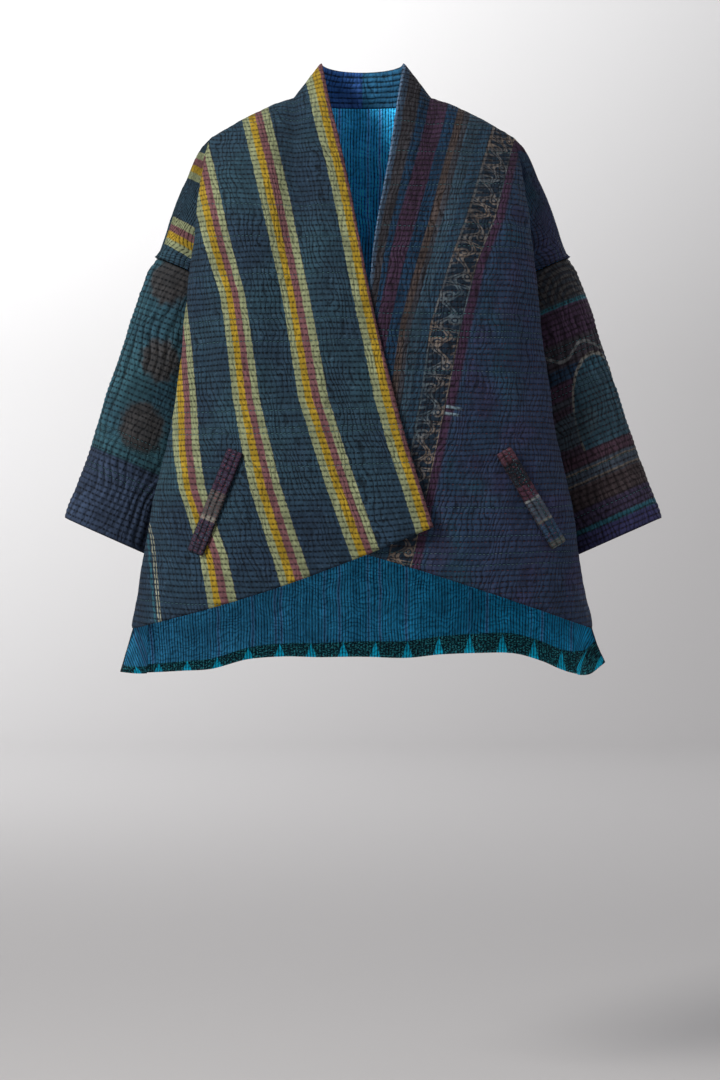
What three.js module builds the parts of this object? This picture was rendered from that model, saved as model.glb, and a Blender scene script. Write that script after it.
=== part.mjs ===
// A quilted kimono jacket, filled out as if worn and held at the shoulders.
// Millimetres, +Z up, +X towards the wearer's left, front facing -Y. The origin is the middle of the
// neck opening, level with the points where the shoulder seams meet the collar.
import * as THREE from "three";

// The cloth
const CLOTH = 2.4; // thickness of the quilted layers at a line of stitching
const QUILT = 1.0; // rise of the outside between two lines of stitching
const SEAM = 0.38; // space between two pieces along a seam

// The neck and the collar
const NECK_HALF = 92; // from the middle to where shoulder seam and collar meet
const NECK_BACK = 60; // from the shoulder seam back to the collar's foot at centre back
const COLLAR_TOP_HALF = 55;
const COLLAR_TOP_BACK = 51;
const COLLAR_HEIGHT = 48;
const COLLAR_SINK = 3; // how much lower its top is at centre back
const NECKLINE_DROP = 2.2; // how far the back's neckline lies under the shoulder points
const COLLAR_FOOT = -0.2; // height of the collar's lower edge at centre back
const SHOULDER_Y = 8; // where the shoulder seam runs, front to back

// The hems and seams
const SHOULDER_END_Z = -53; // height of the shoulder seam above the front's outer fold
const FRONT_HEM_SIDE_Z = -716;
const BACK_HEM_SIDE_Z = -776;
const BACK_HEM_MIDDLE_Z = -757;
const OVERARM_Z = -68; // where the overarm seam leaves the shoulder seam
const UNDERARM_Z = -272;
const CUFF_OUTER_Z = -566;
const ARMHOLE_OUTER_Z = -213;
const ARMHOLE_SLOPE = 0.46; // fall of the armhole seam, and of the cuff, per mm towards the body
const ARM_CLEAR = 7.5; // least distance between the middles of a sleeve's cloth and the body's beside it
const SEAM_ANGLE = 20; // degrees that the overarm seam lies in front of the arm's outermost line

// How the pieces are divided
const BANDS = 22; // quilted bands shown down each front, about one for every four real rows of stitching
const VENT_BANDS = 2; // bands of the back below the fronts' side hems
const SLEEVE_BANDS = 12;
const COLLAR_BANDS = 2;
const ROW_POWER = 1.12; // rows lie closer together over the round of the shoulder
const CHEST_STEPS = 10;
const CHEST_POWER = 1.14; // places the third column of a front on the shoulder point
const NECK_STEPS = 5;
const BACK_STEPS = 4;
const FOLD_STEPS = 8;
const SLEEVE_STEPS = 24;
const ARMHOLE_FROM = 0.15; // share of the rows that end on the overarm seam
const ARMHOLE_TO = 0.4; // share at which they have passed the armhole and the side seam starts

// The top of the panels from the collar's edge to the tip of the shoulder
const TOP_LINE = [
  { x: COLLAR_TOP_HALF, z: COLLAR_HEIGHT },
  { x: NECK_HALF, z: 0 },
  { x: 118, z: -8 },
  { x: 162, z: -29 },
  { x: 203, z: SHOULDER_END_Z },
  { x: 218, z: -68 },
  { x: 230, z: -86 },
];

// Level sections of the body: the fold at the front of the armhole, how far forward the cloth lies at the
// fold and at the middle, how far the fold tucks in behind, and the same for the back
const BODY = [
  { z: -53, fold: 203, foldY: -22, front: -74, tuck: 0, back: 74, turn: 185, turnY: 30 },
  { z: -110, fold: 214, foldY: -40, front: -88, tuck: 5, back: 88, turn: 178, turnY: 52 },
  { z: -150, fold: 220, foldY: -42, front: -100, tuck: 18, back: 96, turn: 182, turnY: 70 },
  { z: -190, fold: 224, foldY: -40, front: -108, tuck: 25, back: 100, turn: 185, turnY: 84 },
  { z: -230, fold: 230, foldY: -38, front: -113, tuck: 32, back: 103, turn: 184, turnY: 90 },
  { z: -270, fold: 234, foldY: -36, front: -117, tuck: 38, back: 105, turn: 174, turnY: 93 },
  { z: -320, fold: 239, foldY: -32, front: -119, tuck: 38, back: 106, turn: 184, turnY: 90 },
  { z: -400, fold: 248, foldY: -28, front: -121, tuck: 38, back: 108, turn: 210, turnY: 88 },
  { z: -480, fold: 264, foldY: -23, front: -124, tuck: 34, back: 111, turn: 236, turnY: 85 },
  { z: -560, fold: 281, foldY: -16, front: -126, tuck: 24, back: 114, turn: 264, turnY: 79 },
  { z: -620, fold: 292, foldY: -8, front: -128, tuck: 12, back: 117, turn: 282, turnY: 68 },
  { z: -716, fold: 309, foldY: 2, front: -130, tuck: 0, back: 121, turn: 304, turnY: 50 },
  { z: -780, fold: 318, foldY: 4, front: -131, tuck: 0, back: 124, turn: 320, turnY: 46 },
];

// The side seam, from the underarm to the back's hem
const SIDE_SEAM = [
  { z: -272, x: 158, y: 40 },
  { z: -320, x: 179, y: 45 },
  { z: -400, x: 205, y: 47 },
  { z: -480, x: 230, y: 47 },
  { z: -560, x: 258, y: 42 },
  { z: -620, x: 279, y: 35 },
  { z: -716, x: 311, y: 22 },
  { z: -780, x: 329, y: 18 },
];

// Level sections of the arm, from the tip of the shoulder to the cuff
const ARM = [
  { z: -68, outer: 218.9, width: 36, y: 12, depth: 23 },
  { z: -80, outer: 227, width: 58, y: 14, depth: 34 },
  { z: -110, outer: 240, width: 84, y: 18, depth: 50 },
  { z: -150, outer: 256, width: 102, y: 24, depth: 68 },
  { z: -190, outer: 270, width: 114, y: 32, depth: 80 },
  { z: -230, outer: 286, width: 121, y: 39, depth: 84 },
  { z: -270, outer: 301, width: 126, y: 44, depth: 85 },
  { z: -320, outer: 317, width: 129, y: 47, depth: 84 },
  { z: -400, outer: 344, width: 131, y: 49, depth: 80 },
  { z: -480, outer: 371, width: 133, y: 51, depth: 76 },
  { z: -560, outer: 402, width: 135, y: 52, depth: 73 },
  { z: -650, outer: 436, width: 137, y: 53, depth: 71 },
];

// The hem of the back, from the middle to the side: how far it lies above a level curve, and behind it
const BACK_HEM = [
  { x: 0, rightRise: -3, rightSwing: 0, leftRise: -3, leftSwing: 0 },
  { x: 60, rightRise: -2, rightSwing: 4, leftRise: -3, leftSwing: 4 },
  { x: 110, rightRise: 3, rightSwing: -3, leftRise: 6, leftSwing: -3 },
  { x: 160, rightRise: 4, rightSwing: -8, leftRise: 13, leftSwing: -10 },
  { x: 210, rightRise: -5, rightSwing: 8, leftRise: 17, leftSwing: -2 },
  { x: 250, rightRise: -4, rightSwing: 4, leftRise: 9, leftSwing: 10 },
  { x: 285, rightRise: -3, rightSwing: -4, leftRise: -3, leftSwing: 4 },
  { x: 308, rightRise: -2, rightSwing: -6, leftRise: -3, leftSwing: -6 },
  { x: 329, rightRise: 1, rightSwing: -7, leftRise: 15, leftSwing: -12 },
];

// The free edges of the fronts, measured from the middle towards their own side
const RIGHT_EDGE = [
  { z: 48, x: 55 },
  { z: -3, x: 45 },
  { z: -70, x: 29 },
  { z: -138, x: 15 },
  { z: -205, x: 3 },
  { z: -308, x: -17 },
  { z: -386, x: -36 },
  { z: -463, x: -56 },
  { z: -543, x: -80 },
  { z: -580, x: -92 },
];
const LEFT_EDGE = [
  { z: 48, x: 55 },
  { z: -4, x: 47 },
  { z: -86, x: 35 },
  { z: -158, x: 22 },
  { z: -211, x: 14 },
  { z: -273, x: 8 },
  { z: -400, x: -12 },
  { z: -500, x: -34 },
  { z: -600, x: -60 },
];

// Each front: its side of the body, its edge, its hem, and how far it lifts over the other front
const FRONTS = [
  {
    name: "right_front",
    side: -1,
    edge: RIGHT_EDGE,
    hem: { edgeZ: -580, bow: 10, power: 1 },
    lift: 4.8,
    flap: 9,
  },
  {
    name: "left_front",
    side: 1,
    edge: LEFT_EDGE,
    hem: { edgeZ: -600, bow: 0, power: 1.15 },
    lift: 0,
    flap: 0,
  },
];

// The pocket welts: upper and lower end on the front, from the middle towards their own side
const WELT_WIDTH = 22;
const WELT_HEIGHT = 4.5;
const WELT_STEPS = 10;
const WELTS = [
  { name: "right_welt", side: -1, top: { x: 165, z: -480 }, bottom: { x: 218, z: -614 } },
  { name: "left_welt", side: 1, top: { x: 183, z: -480 }, bottom: { x: 257, z: -604 } },
];

const clamp = (t) => Math.min(1, Math.max(0, t));
const smooth = (t) => clamp(t) ** 2 * (3 - 2 * clamp(t));
const mix = (a, b, t) => a + (b - a) * t;
const radians = (degrees) => (degrees * Math.PI) / 180;

// A smooth curve through one column of a table, as a function of another column
function column(table, by, key) {
  const rows = [...table].sort((a, b) => a[by] - b[by]);
  const slope = (i) => {
    const a = rows[Math.max(0, i - 1)];
    const b = rows[Math.min(rows.length - 1, i + 1)];
    return (b[key] - a[key]) / (b[by] - a[by]);
  };
  return (at) => {
    let i = 0;
    while (i < rows.length - 2 && at > rows[i + 1][by]) i += 1;
    const [a, b] = [rows[i], rows[i + 1]];
    const step = b[by] - a[by];
    const t = clamp((at - a[by]) / step);
    const bend = t * (1 - t) * step;
    return mix(a[key], b[key], t * t * (3 - 2 * t)) + bend * ((1 - t) * slope(i) - t * slope(i + 1));
  };
}

const body = Object.fromEntries(Object.keys(BODY[0]).map((key) => [key, column(BODY, "z", key)]));
const arm = Object.fromEntries(Object.keys(ARM[0]).map((key) => [key, column(ARM, "z", key)]));
const seamX = column(SIDE_SEAM, "z", "x");
const seamY = column(SIDE_SEAM, "z", "y");
const hem = Object.fromEntries(Object.keys(BACK_HEM[0]).map((key) => [key, column(BACK_HEM, "x", key)]));

// Height of the top line over a distance x from the middle, straight between its points
function topLine(x) {
  if (x <= TOP_LINE[0].x) return TOP_LINE[0].z;
  const i = Math.max(1, TOP_LINE.findIndex((p) => p.x >= x));
  const [a, b] = [TOP_LINE[i - 1], TOP_LINE[i]];
  return mix(a.z, b.z, clamp((x - a.x) / (b.x - a.x)));
}

// How much of its full depth the cloth has reached at a drop below its top line, counted in its reach
const FILL_POWER = 0.75;
const filled = (drops) => (1 - Math.exp(-Math.max(0, drops))) ** FILL_POWER;
const dropsFor = (share) => -Math.log(1 - share ** (1 / FILL_POWER));

// Where the front's cloth lies, front to back, at a place seen from the front
function frontY(x, z) {
  const across = clamp(Math.abs(x) / body.fold(z));
  const section = mix(body.foldY(z), body.front(z), Math.sqrt(1 - across ** 2.2));
  const reach = mix(150, 80, smooth((Math.abs(x) - 80) / 60));
  return mix(SHOULDER_Y, section, filled((topLine(Math.abs(x)) - z) / reach));
}

// The neckline of the back, and where the back's cloth lies, front to back
function neckY(x) {
  return SHOULDER_Y + NECK_BACK * Math.sqrt(Math.max(0, 1 - (x / NECK_HALF) ** 2));
}
const BACK_REACH = 70;
function backTopZ(x) {
  return x < NECK_HALF ? -NECKLINE_DROP : Math.min(-NECKLINE_DROP / 2, topLine(x));
}
function backY(x, z) {
  const across = Math.abs(x) / body.turn(z);
  const section = mix(body.back(z), body.turnY(z), across ** 2.6);
  const topSection = mix(body.back(0), body.turnY(0), (Math.abs(x) / body.turn(0)) ** 2.6);
  // The neckline cuts into the rounding of the shoulders, so the cloth there has already part of its depth
  const start = dropsFor(clamp((neckY(Math.abs(x)) - SHOULDER_Y) / (topSection - SHOULDER_Y)));
  return mix(SHOULDER_Y, section, filled(start + (backTopZ(Math.abs(x)) - z) / BACK_REACH));
}

// A point of the arm's tube; angle 0 is outermost, 90 the front and 180 next to the body
function armPoint(z, angle) {
  const half = arm.width(z) / 2;
  const x = arm.outer(z) - half + half * Math.cos(radians(angle));
  const y = arm.y(z) - (arm.depth(z) / 2) * Math.sin(radians(angle));
  return new THREE.Vector3(x, y, z);
}
function armNormal(z, angle) {
  const x = Math.cos(radians(angle)) / (arm.width(z) / 2);
  const y = -Math.sin(radians(angle)) / (arm.depth(z) / 2);
  return new THREE.Vector3(x, y, 0).normalize();
}
// The tube's point on a slanting cut that starts at height outerZ on the outermost line
function cutPoint(outerZ, angle) {
  let z = outerZ;
  for (let i = 0; i < 6; i += 1) z = outerZ - ARMHOLE_SLOPE * (arm.outer(outerZ) - armPoint(z, angle).x);
  return armPoint(z, angle);
}

// Extra space on either side of the armhole seam where the body's cloth meets the sleeve's end flat on
const underarm = (angle) => {
  const turned = Math.abs(angle);
  return 1.9 * smooth((turned - 82) / 22) + 2.2 * smooth((turned - 145) / 30);
};

// Moves a point of the body out of the sleeve's way, below the armhole's cut
function clearOfArm(p) {
  const half = arm.width(p.z) / 2;
  const [reachX, reachY] = [half + ARM_CLEAR, arm.depth(p.z) / 2 + ARM_CLEAR];
  const [dx, dy] = [(p.x - arm.outer(p.z) + half) / reachX, (p.y - arm.y(p.z)) / reachY];
  const near = Math.hypot(dx, dy);
  const cutZ = ARMHOLE_OUTER_Z - ARMHOLE_SLOPE * (arm.outer(ARMHOLE_OUTER_Z) - p.x);
  const push = near < 1 ? (1 / near - 1) * smooth((cutZ + 6 - p.z) / 6) : 0;
  p.x += dx * push * reachX;
  p.y += dy * push * reachY;
}

// Where a row ends at the outside: on the overarm seam, on the armhole, then on the side seam.
// facing is 1 for a front and -1 for the back
function rowEnd(share, facing, sideZ) {
  const seamStep = new THREE.Vector3(0, (-facing * SEAM) / 2, 0);
  if (share <= ARMHOLE_FROM) {
    const z = mix(OVERARM_Z, cutPoint(ARMHOLE_OUTER_Z, SEAM_ANGLE).z, share / ARMHOLE_FROM);
    const normal = armNormal(z, SEAM_ANGLE);
    normal.y *= smooth(share / 0.05);
    return { point: armPoint(z, SEAM_ANGLE).add(seamStep), normal: normal.normalize(), angle: SEAM_ANGLE };
  }
  if (share < ARMHOLE_TO) {
    const t = (share - ARMHOLE_FROM) / (ARMHOLE_TO - ARMHOLE_FROM);
    const angle = mix(SEAM_ANGLE, facing * 180, t);
    const point = cutPoint(ARMHOLE_OUTER_Z, angle);
    point.z += SEAM / 2 + 0.5 + underarm(angle);
    return { point, normal: Math.abs(angle) > 95 ? null : armNormal(point.z, angle), angle };
  }
  const point = new THREE.Vector3(seamX(sideZ), seamY(sideZ), sideZ).add(seamStep);
  return { point, normal: new THREE.Vector3(1, 0, 0), angle: facing * 180 };
}

// A cubic from a to b that leaves along one direction and arrives along another
function bend(a, leave, b, arrive, t) {
  const [t2, t3] = [t * t, t * t * t];
  return a
    .clone()
    .multiplyScalar(2 * t3 - 3 * t2 + 1)
    .addScaledVector(leave, t3 - 2 * t2 + t)
    .addScaledVector(b, 3 * t2 - 2 * t3)
    .addScaledVector(arrive, t3 - t2);
}

// The rest of a row past the fold: round the fold, on to the arm, and along it to the row's end
function foldPoints(start, leave, end, landing, facing) {
  const line = [];
  const onArm = Math.abs(end.angle) < Math.abs(landing) - 8 && start.z > end.point.z + 4;
  const place = (t) => armPoint(mix(start.z, end.point.z, t), mix(landing, end.angle, t));
  const hook = mix(0.25, 0.05, clamp(Math.abs(end.angle) / Math.abs(landing)));
  const land = onArm ? place(hook) : end.point.clone();
  const span = start.distanceTo(land);
  const along = place(hook + 0.05).sub(place(hook)).setLength(span * 0.8);
  const arrive = onArm ? along : new THREE.Vector3(0, facing * span * 0.9, 0);
  for (let i = 0; i < 24; i += 1) {
    const p = bend(start, leave.clone().setLength(span), land, arrive, i / 24);
    if (!onArm) p.z = mix(start.z, end.point.z, smooth((1.7 * i) / 24));
    line.push(p);
  }
  for (let i = 0; i < 24 && onArm; i += 1) line.push(place(mix(hook, 1, i / 24)));
  line.push(end.point);
  const path = new THREE.CurvePath();
  for (let i = 1; i < line.length; i += 1) path.add(new THREE.LineCurve3(line[i - 1], line[i]));
  const folded = Array.from({ length: FOLD_STEPS }, (_, i) => path.getPointAt((i + 1) / FOLD_STEPS));
  folded.slice(0, -1).forEach(clearOfArm);
  return folded;
}

const rowShare = (row, rows) => (row / rows) ** ROW_POWER;
const FRONT_ROWS = 2 * BANDS;

// One row of a front, from its free edge to its outer seam
function frontRow(front, row) {
  const share = rowShare(row, FRONT_ROWS);
  const edgeX = column(front.edge, "z", "x");
  const edgeZ = mix(COLLAR_HEIGHT, front.hem.edgeZ, share);
  const foldZ = mix(SHOULDER_END_Z, FRONT_HEM_SIDE_Z, share);
  const points = [];
  for (let i = 0; i <= CHEST_STEPS; i += 1) {
    const part = Math.sin((Math.PI / 2) * (i / CHEST_STEPS) ** CHEST_POWER);
    const topX = mix(COLLAR_TOP_HALF, body.fold(SHOULDER_END_Z), part);
    const top = mix(topLine(topX), mix(COLLAR_HEIGHT, SHOULDER_END_Z, part), clamp(share / 0.25));
    const fall = mix(front.hem.edgeZ, FRONT_HEM_SIDE_Z, part ** front.hem.power);
    const z = mix(top, fall - front.hem.bow * Math.sin(Math.PI * part), share);
    const x = mix(edgeX(edgeZ), body.fold(foldZ), part);
    const over = smooth((125 - x) / 60) * smooth((-z - 120) / 110);
    const lift = over * (front.lift + front.flap * smooth((-z - 380) / 200) * smooth((20 - x) / 90));
    points.push(new THREE.Vector3(x, frontY(x, z) - lift - (row === 0 ? SEAM / 2 : 0), z));
  }
  const start = points[CHEST_STEPS];
  const sideZ = mix(UNDERARM_Z, FRONT_HEM_SIDE_Z, clamp((share - ARMHOLE_TO) / (1 - ARMHOLE_TO)));
  const end = rowEnd(share, 1, sideZ);
  const half = arm.width(foldZ) / 2;
  const landingX = (body.fold(foldZ) - body.tuck(foldZ) - arm.outer(foldZ) + half) / half;
  const landing = (Math.acos(Math.min(0.9, Math.max(-0.9, landingX))) * 180) / Math.PI;
  const folded = foldPoints(start, new THREE.Vector3(0.05, 1, 0), end, landing, 1);
  points.push(...openFold(start, folded, end, share));
  return { points, end };
}

// At the shoulder seam the fold has no depth yet: the row runs along the top line to its end there
function openFold(start, folded, end, share) {
  return folded.map((p, i) => {
    const flat = start.clone().lerp(end.point, (i + 1) / FOLD_STEPS);
    if (share === 0 && i < FOLD_STEPS - 1) flat.z = topLine(flat.x);
    return flat.lerp(p, smooth(share / 0.07));
  });
}

// One half of a row of the back, from the middle to its outer seam
function backHalfRow(side, row) {
  const rows = FRONT_ROWS + 2 * VENT_BANDS;
  const share = rowShare(Math.min(row, FRONT_ROWS), FRONT_ROWS);
  const vent = Math.max(0, row - FRONT_ROWS) / (2 * VENT_BANDS);
  const whole = rowShare(row, rows);
  const sideZ = vent
    ? mix(FRONT_HEM_SIDE_Z, BACK_HEM_SIDE_Z, vent)
    : mix(UNDERARM_Z, FRONT_HEM_SIDE_Z, clamp((share - ARMHOLE_TO) / (1 - ARMHOLE_TO)));
  const turnZ = vent ? sideZ : mix(topLine(body.turn(SHOULDER_END_Z)), FRONT_HEM_SIDE_Z, share);
  const neckShare = NECK_HALF / body.turn(SHOULDER_END_Z);
  const points = [];
  for (let i = 0; i <= NECK_STEPS + BACK_STEPS; i += 1) {
    const neckPart = neckShare * Math.sin(radians((90 * Math.min(i, NECK_STEPS)) / NECK_STEPS));
    const part = i <= NECK_STEPS ? neckPart : mix(neckPart, 1, (i - NECK_STEPS) / BACK_STEPS);
    const topX = body.turn(SHOULDER_END_Z) * part;
    const level = mix(mix(-NECKLINE_DROP, BACK_HEM_MIDDLE_Z, whole), turnZ, smooth(part));
    const z = mix(backTopZ(topX) + (row === 0 ? 0 : level), level, clamp(share / 0.12));
    const x = body.turn(turnZ) * part;
    const seam = row === 0 ? SEAM / 2 : 0;
    points.push(new THREE.Vector3(x, backY(x, z) + seam, row === 0 ? backTopZ(topX) : z));
  }
  const start = points[NECK_STEPS + BACK_STEPS];
  const end = rowEnd(share, -1, sideZ);
  const slope = (-2.6 * (body.back(turnZ) - body.turnY(turnZ))) / body.turn(turnZ);
  const folded = foldPoints(start, new THREE.Vector3(1, slope, 0), end, -105, -1);
  points.push(...openFold(start, folded, end, share));
  // The waves of the hem, which leave the side seam as it is
  const word = side > 0 ? "left" : "right";
  points.forEach((p) => {
    const free = mix(smooth((seamX(p.z) - p.x) / 45), 1, smooth(vent));
    const low = free * smooth((-p.z - 560) / 200) ** 1.5;
    p.z += low * hem[`${word}Rise`](p.x);
    p.y += low * hem[`${word}Swing`](p.x);
  });
  return { points, end };
}

// Outward normals of a grid of points, from their neighbours
function gridNormals(rows, closed, flip) {
  const [last, wide] = [rows.length - 1, rows[0].length];
  return rows.map((row, r) =>
    row.map((_, c) => {
      const down = rows[Math.min(last, r + 1)][c].clone().sub(rows[Math.max(0, r - 1)][c]);
      const before = closed ? (c + wide - 1) % wide : Math.max(0, c - 1);
      const after = closed ? (c + 1) % wide : Math.min(wide - 1, c + 1);
      const across = row[after].clone().sub(row[before]);
      return across.cross(down).normalize().multiplyScalar(flip);
    }),
  );
}

// A wall of cloth round a grid of points: the outside rises between the lines of stitching, which are the
// even rows, and the inside is plain and has only those rows
function clothWall(rows, normals, closed) {
  const [height, wide] = [rows.length, rows[0].length];
  const positions = [];
  const layer = (r, rise) =>
    rows[r].map((p, c) => {
      const placed = p.clone().addScaledVector(normals[r][c], rise);
      return positions.push(...placed.toArray()) / 3 - 1;
    });
  const outer = rows.map((_, r) => layer(r, CLOTH / 2 + (r % 2 ? QUILT : 0)));
  const inner = rows.map((_, r) => (r % 2 ? null : layer(r, -CLOTH / 2)));
  const faces = [];
  const quad = (a, b, c, d) => faces.push(a, b, c, a, c, d);
  const columns = closed ? wide : wide - 1;
  for (let c = 0; c < columns; c += 1) {
    const n = (c + 1) % wide;
    for (let r = 0; r < height - 1; r += 1) {
      quad(outer[r][c], outer[r + 1][c], outer[r + 1][n], outer[r][n]);
      if (r % 2 === 0) quad(inner[r][c], inner[r][n], inner[r + 2][n], inner[r + 2][c]);
    }
    quad(outer[0][c], outer[0][n], inner[0][n], inner[0][c]);
    quad(inner[height - 1][c], inner[height - 1][n], outer[height - 1][n], outer[height - 1][c]);
  }
  for (let r = 0; r < height - 1 && !closed; r += 2) {
    const [a, e] = [0, wide - 1];
    faces.push(outer[r][a], inner[r][a], outer[r + 1][a]);
    faces.push(inner[r][a], inner[r + 2][a], outer[r + 1][a]);
    faces.push(outer[r + 1][a], inner[r + 2][a], outer[r + 2][a]);
    faces.push(outer[r][e], outer[r + 1][e], inner[r][e]);
    faces.push(inner[r][e], outer[r + 1][e], inner[r + 2][e]);
    faces.push(outer[r + 1][e], outer[r + 2][e], inner[r + 2][e]);
  }
  return geometryOf(positions, faces);
}

function geometryOf(positions, faces) {
  const geometry = new THREE.BufferGeometry();
  geometry.setAttribute("position", new THREE.Float32BufferAttribute(positions, 3));
  geometry.setIndex(faces);
  let volume = 0;
  const corner = (i) => new THREE.Vector3(...positions.slice(3 * i, 3 * i + 3));
  for (let i = 0; i < faces.length; i += 3) {
    volume += corner(faces[i]).dot(corner(faces[i + 1]).cross(corner(faces[i + 2])));
  }
  if (volume < 0) {
    for (let i = 0; i < faces.length; i += 3) [faces[i + 1], faces[i + 2]] = [faces[i + 2], faces[i + 1]];
    geometry.setIndex(faces);
  }
  return geometry;
}

const mirrored = (p, side) => new THREE.Vector3(p.x * side, p.y, p.z);

// The direction square to the top line, which both panels share along the shoulder seam
function topNormal(points, i) {
  const a = points[Math.max(0, i - 1)];
  const b = points[i + 1];
  return new THREE.Vector3(a.z - b.z, 0, b.x - a.x).normalize();
}

function frontGeometry(front) {
  const made = Array.from({ length: FRONT_ROWS + 1 }, (_, row) => frontRow(front, row));
  const rows = made.map((m) => m.points);
  const normals = gridNormals(rows, false, -1);
  for (let i = 0; i < rows[0].length - 1; i += 1) normals[0][i] = topNormal(rows[0], i);
  made.forEach((m, r) => {
    if (m.end.normal) normals[r][normals[r].length - 1] = m.end.normal;
  });
  const turned = (grid) => grid.map((row) => row.map((p) => mirrored(p, front.side)));
  return clothWall(turned(rows), turned(normals), false);
}

function backGeometry() {
  const count = FRONT_ROWS + 2 * VENT_BANDS + 1;
  const rows = [];
  const normals = [];
  const halves = [-1, 1].map((side) => {
    const made = Array.from({ length: count }, (_, row) => backHalfRow(side, row));
    const points = made.map((m) => m.points);
    const out = gridNormals(points, false, 1);
    for (let i = NECK_STEPS; i < points[0].length - 1; i += 1) out[0][i] = topNormal(points[0], i);
    made.forEach((m, r) => {
      if (m.end.normal) out[r][out[r].length - 1] = m.end.normal;
      out[r][0] = out[r][0].setX(0).normalize();
    });
    return { points, out, side };
  });
  for (let r = 0; r < count; r += 1) {
    const [right, left] = halves.map((h) => ({
      points: h.points[r].map((p) => mirrored(p, h.side)),
      out: h.out[r].map((p) => mirrored(p, h.side)),
    }));
    rows.push([...right.points.reverse(), ...left.points.slice(1)]);
    normals.push([...right.out.reverse(), ...left.out.slice(1)]);
  }
  return clothWall(rows, normals, false);
}

// A sleeve: slanting rings down the arm, fuller than the armhole just below its seam
function sleeveGeometry(side) {
  const rows = [];
  const normals = [];
  for (let r = 0; r <= 2 * SLEEVE_BANDS; r += 1) {
    const share = r / (2 * SLEEVE_BANDS);
    const outerZ = mix(ARMHOLE_OUTER_Z, CUFF_OUTER_Z, share);
    const full = 4 * smooth(share / 0.06);
    const ring = [];
    const out = [];
    for (let c = 0; c < SLEEVE_STEPS; c += 1) {
      const angle = (360 * c) / SLEEVE_STEPS;
      const deep = smooth((Math.abs(angle - 180) - 20) / -90 + 1);
      const point = cutPoint(outerZ, angle);
      const normal = armNormal(point.z, angle);
      point.addScaledVector(normal, full * (1 - deep));
      point.z -= r === 0 ? SEAM / 2 + underarm(180 - Math.abs(angle - 180)) : 0;
      ring.push(mirrored(point, side));
      out.push(mirrored(normal, side));
    }
    rows.push(ring);
    normals.push(out);
  }
  return clothWall(rows, normals, true);
}

// Half of the collar behind the neck, from centre back to the shoulder point, where its foot clears the
// shoulder seam
const neckFoot = (turn) => COLLAR_FOOT + 1.6 * Math.sin(turn) ** 4;
function collarGeometry(side) {
  const rows = [];
  for (let r = 0; r <= 2 * COLLAR_BANDS; r += 1) {
    const up = r / (2 * COLLAR_BANDS);
    const row = [];
    for (let c = 0; c <= NECK_STEPS; c += 1) {
      const turn = radians((90 * c) / NECK_STEPS);
      const x = mix(NECK_HALF, COLLAR_TOP_HALF, up) * Math.sin(turn) + (c === 0 ? SEAM / 2 : 0);
      const y = SHOULDER_Y + SEAM / 2 + mix(NECK_BACK, COLLAR_TOP_BACK, up) * Math.cos(turn);
      const top = COLLAR_HEIGHT - COLLAR_SINK * Math.cos(turn);
      row.push(new THREE.Vector3(x, y, mix(neckFoot(turn), top, up)));
    }
    rows.push(row);
  }
  const normals = gridNormals(rows, false, -1);
  normals.forEach((row) => {
    row[0].setX(0).normalize();
    row[NECK_STEPS].setY(0).normalize();
  });
  const turned = (grid) => grid.map((row) => row.map((p) => mirrored(p, side)));
  return clothWall(turned(rows), turned(normals), false);
}

// A pocket welt: a strip laid on the front from the front's own points, moved out, with a rounded top
function weltGeometry(welt) {
  const along = new THREE.Vector2(welt.bottom.x - welt.top.x, welt.bottom.z - welt.top.z);
  const across = new THREE.Vector2(-along.y, along.x).normalize().multiplyScalar(WELT_WIDTH);
  const place = (t, w, out) => {
    const x = welt.top.x + along.x * t + across.x * (w - 0.5);
    const z = welt.top.z + along.y * t + across.y * (w - 0.5);
    const slopeX = (frontY(x + 1, z) - frontY(x - 1, z)) / 2;
    const slopeZ = (frontY(x, z + 1) - frontY(x, z - 1)) / 2;
    const normal = new THREE.Vector3(slopeX, -1, slopeZ).normalize();
    return mirrored(new THREE.Vector3(x, frontY(x, z), z).addScaledVector(normal, out), welt.side);
  };
  const foot = CLOTH / 2 + QUILT + SEAM;
  const section = [
    { across: 0, out: foot },
    { across: 0.02, out: foot + 0.6 * WELT_HEIGHT },
    { across: 0.3, out: foot + WELT_HEIGHT },
    { across: 0.75, out: foot + WELT_HEIGHT },
    { across: 0.98, out: foot + 0.6 * WELT_HEIGHT },
    { across: 1, out: foot },
    { across: 0.5, out: foot },
  ];
  const positions = [];
  const faces = [];
  const n = section.length;
  for (let i = 0; i <= WELT_STEPS; i += 1) {
    section.forEach((s) => positions.push(...place(i / WELT_STEPS, s.across, s.out).toArray()));
  }
  for (let i = 0; i < WELT_STEPS; i += 1) {
    for (let k = 0; k < n; k += 1) {
      const [a, b] = [i * n + k, i * n + ((k + 1) % n)];
      faces.push(a, b, b + n, a, b + n, a + n);
    }
  }
  const last = WELT_STEPS * n;
  for (let k = 0; k < n - 2; k += 1) {
    faces.push(n - 1, k + 1, k);
    faces.push(last + n - 1, last + k, last + k + 1);
  }
  return geometryOf(positions, faces);
}

// Colours of the cloth, with the finish of dull, washed cotton
const COLOURS = {
  right_front: 0x28394a,
  left_front: 0x25303f,
  back: 0x23384a,
  right_sleeve: 0x2b4450,
  left_sleeve: 0x2b3040,
  right_collar: 0x36507c,
  left_collar: 0x1f5c7d,
  right_welt: 0x33293a,
  left_welt: 0x2c3440,
};

function piece(name, geometry) {
  const material = new THREE.MeshStandardMaterial({ color: COLOURS[name], roughness: 0.95, metalness: 0 });
  const mesh = new THREE.Mesh(geometry, material);
  mesh.name = name;
  return mesh;
}

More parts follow.
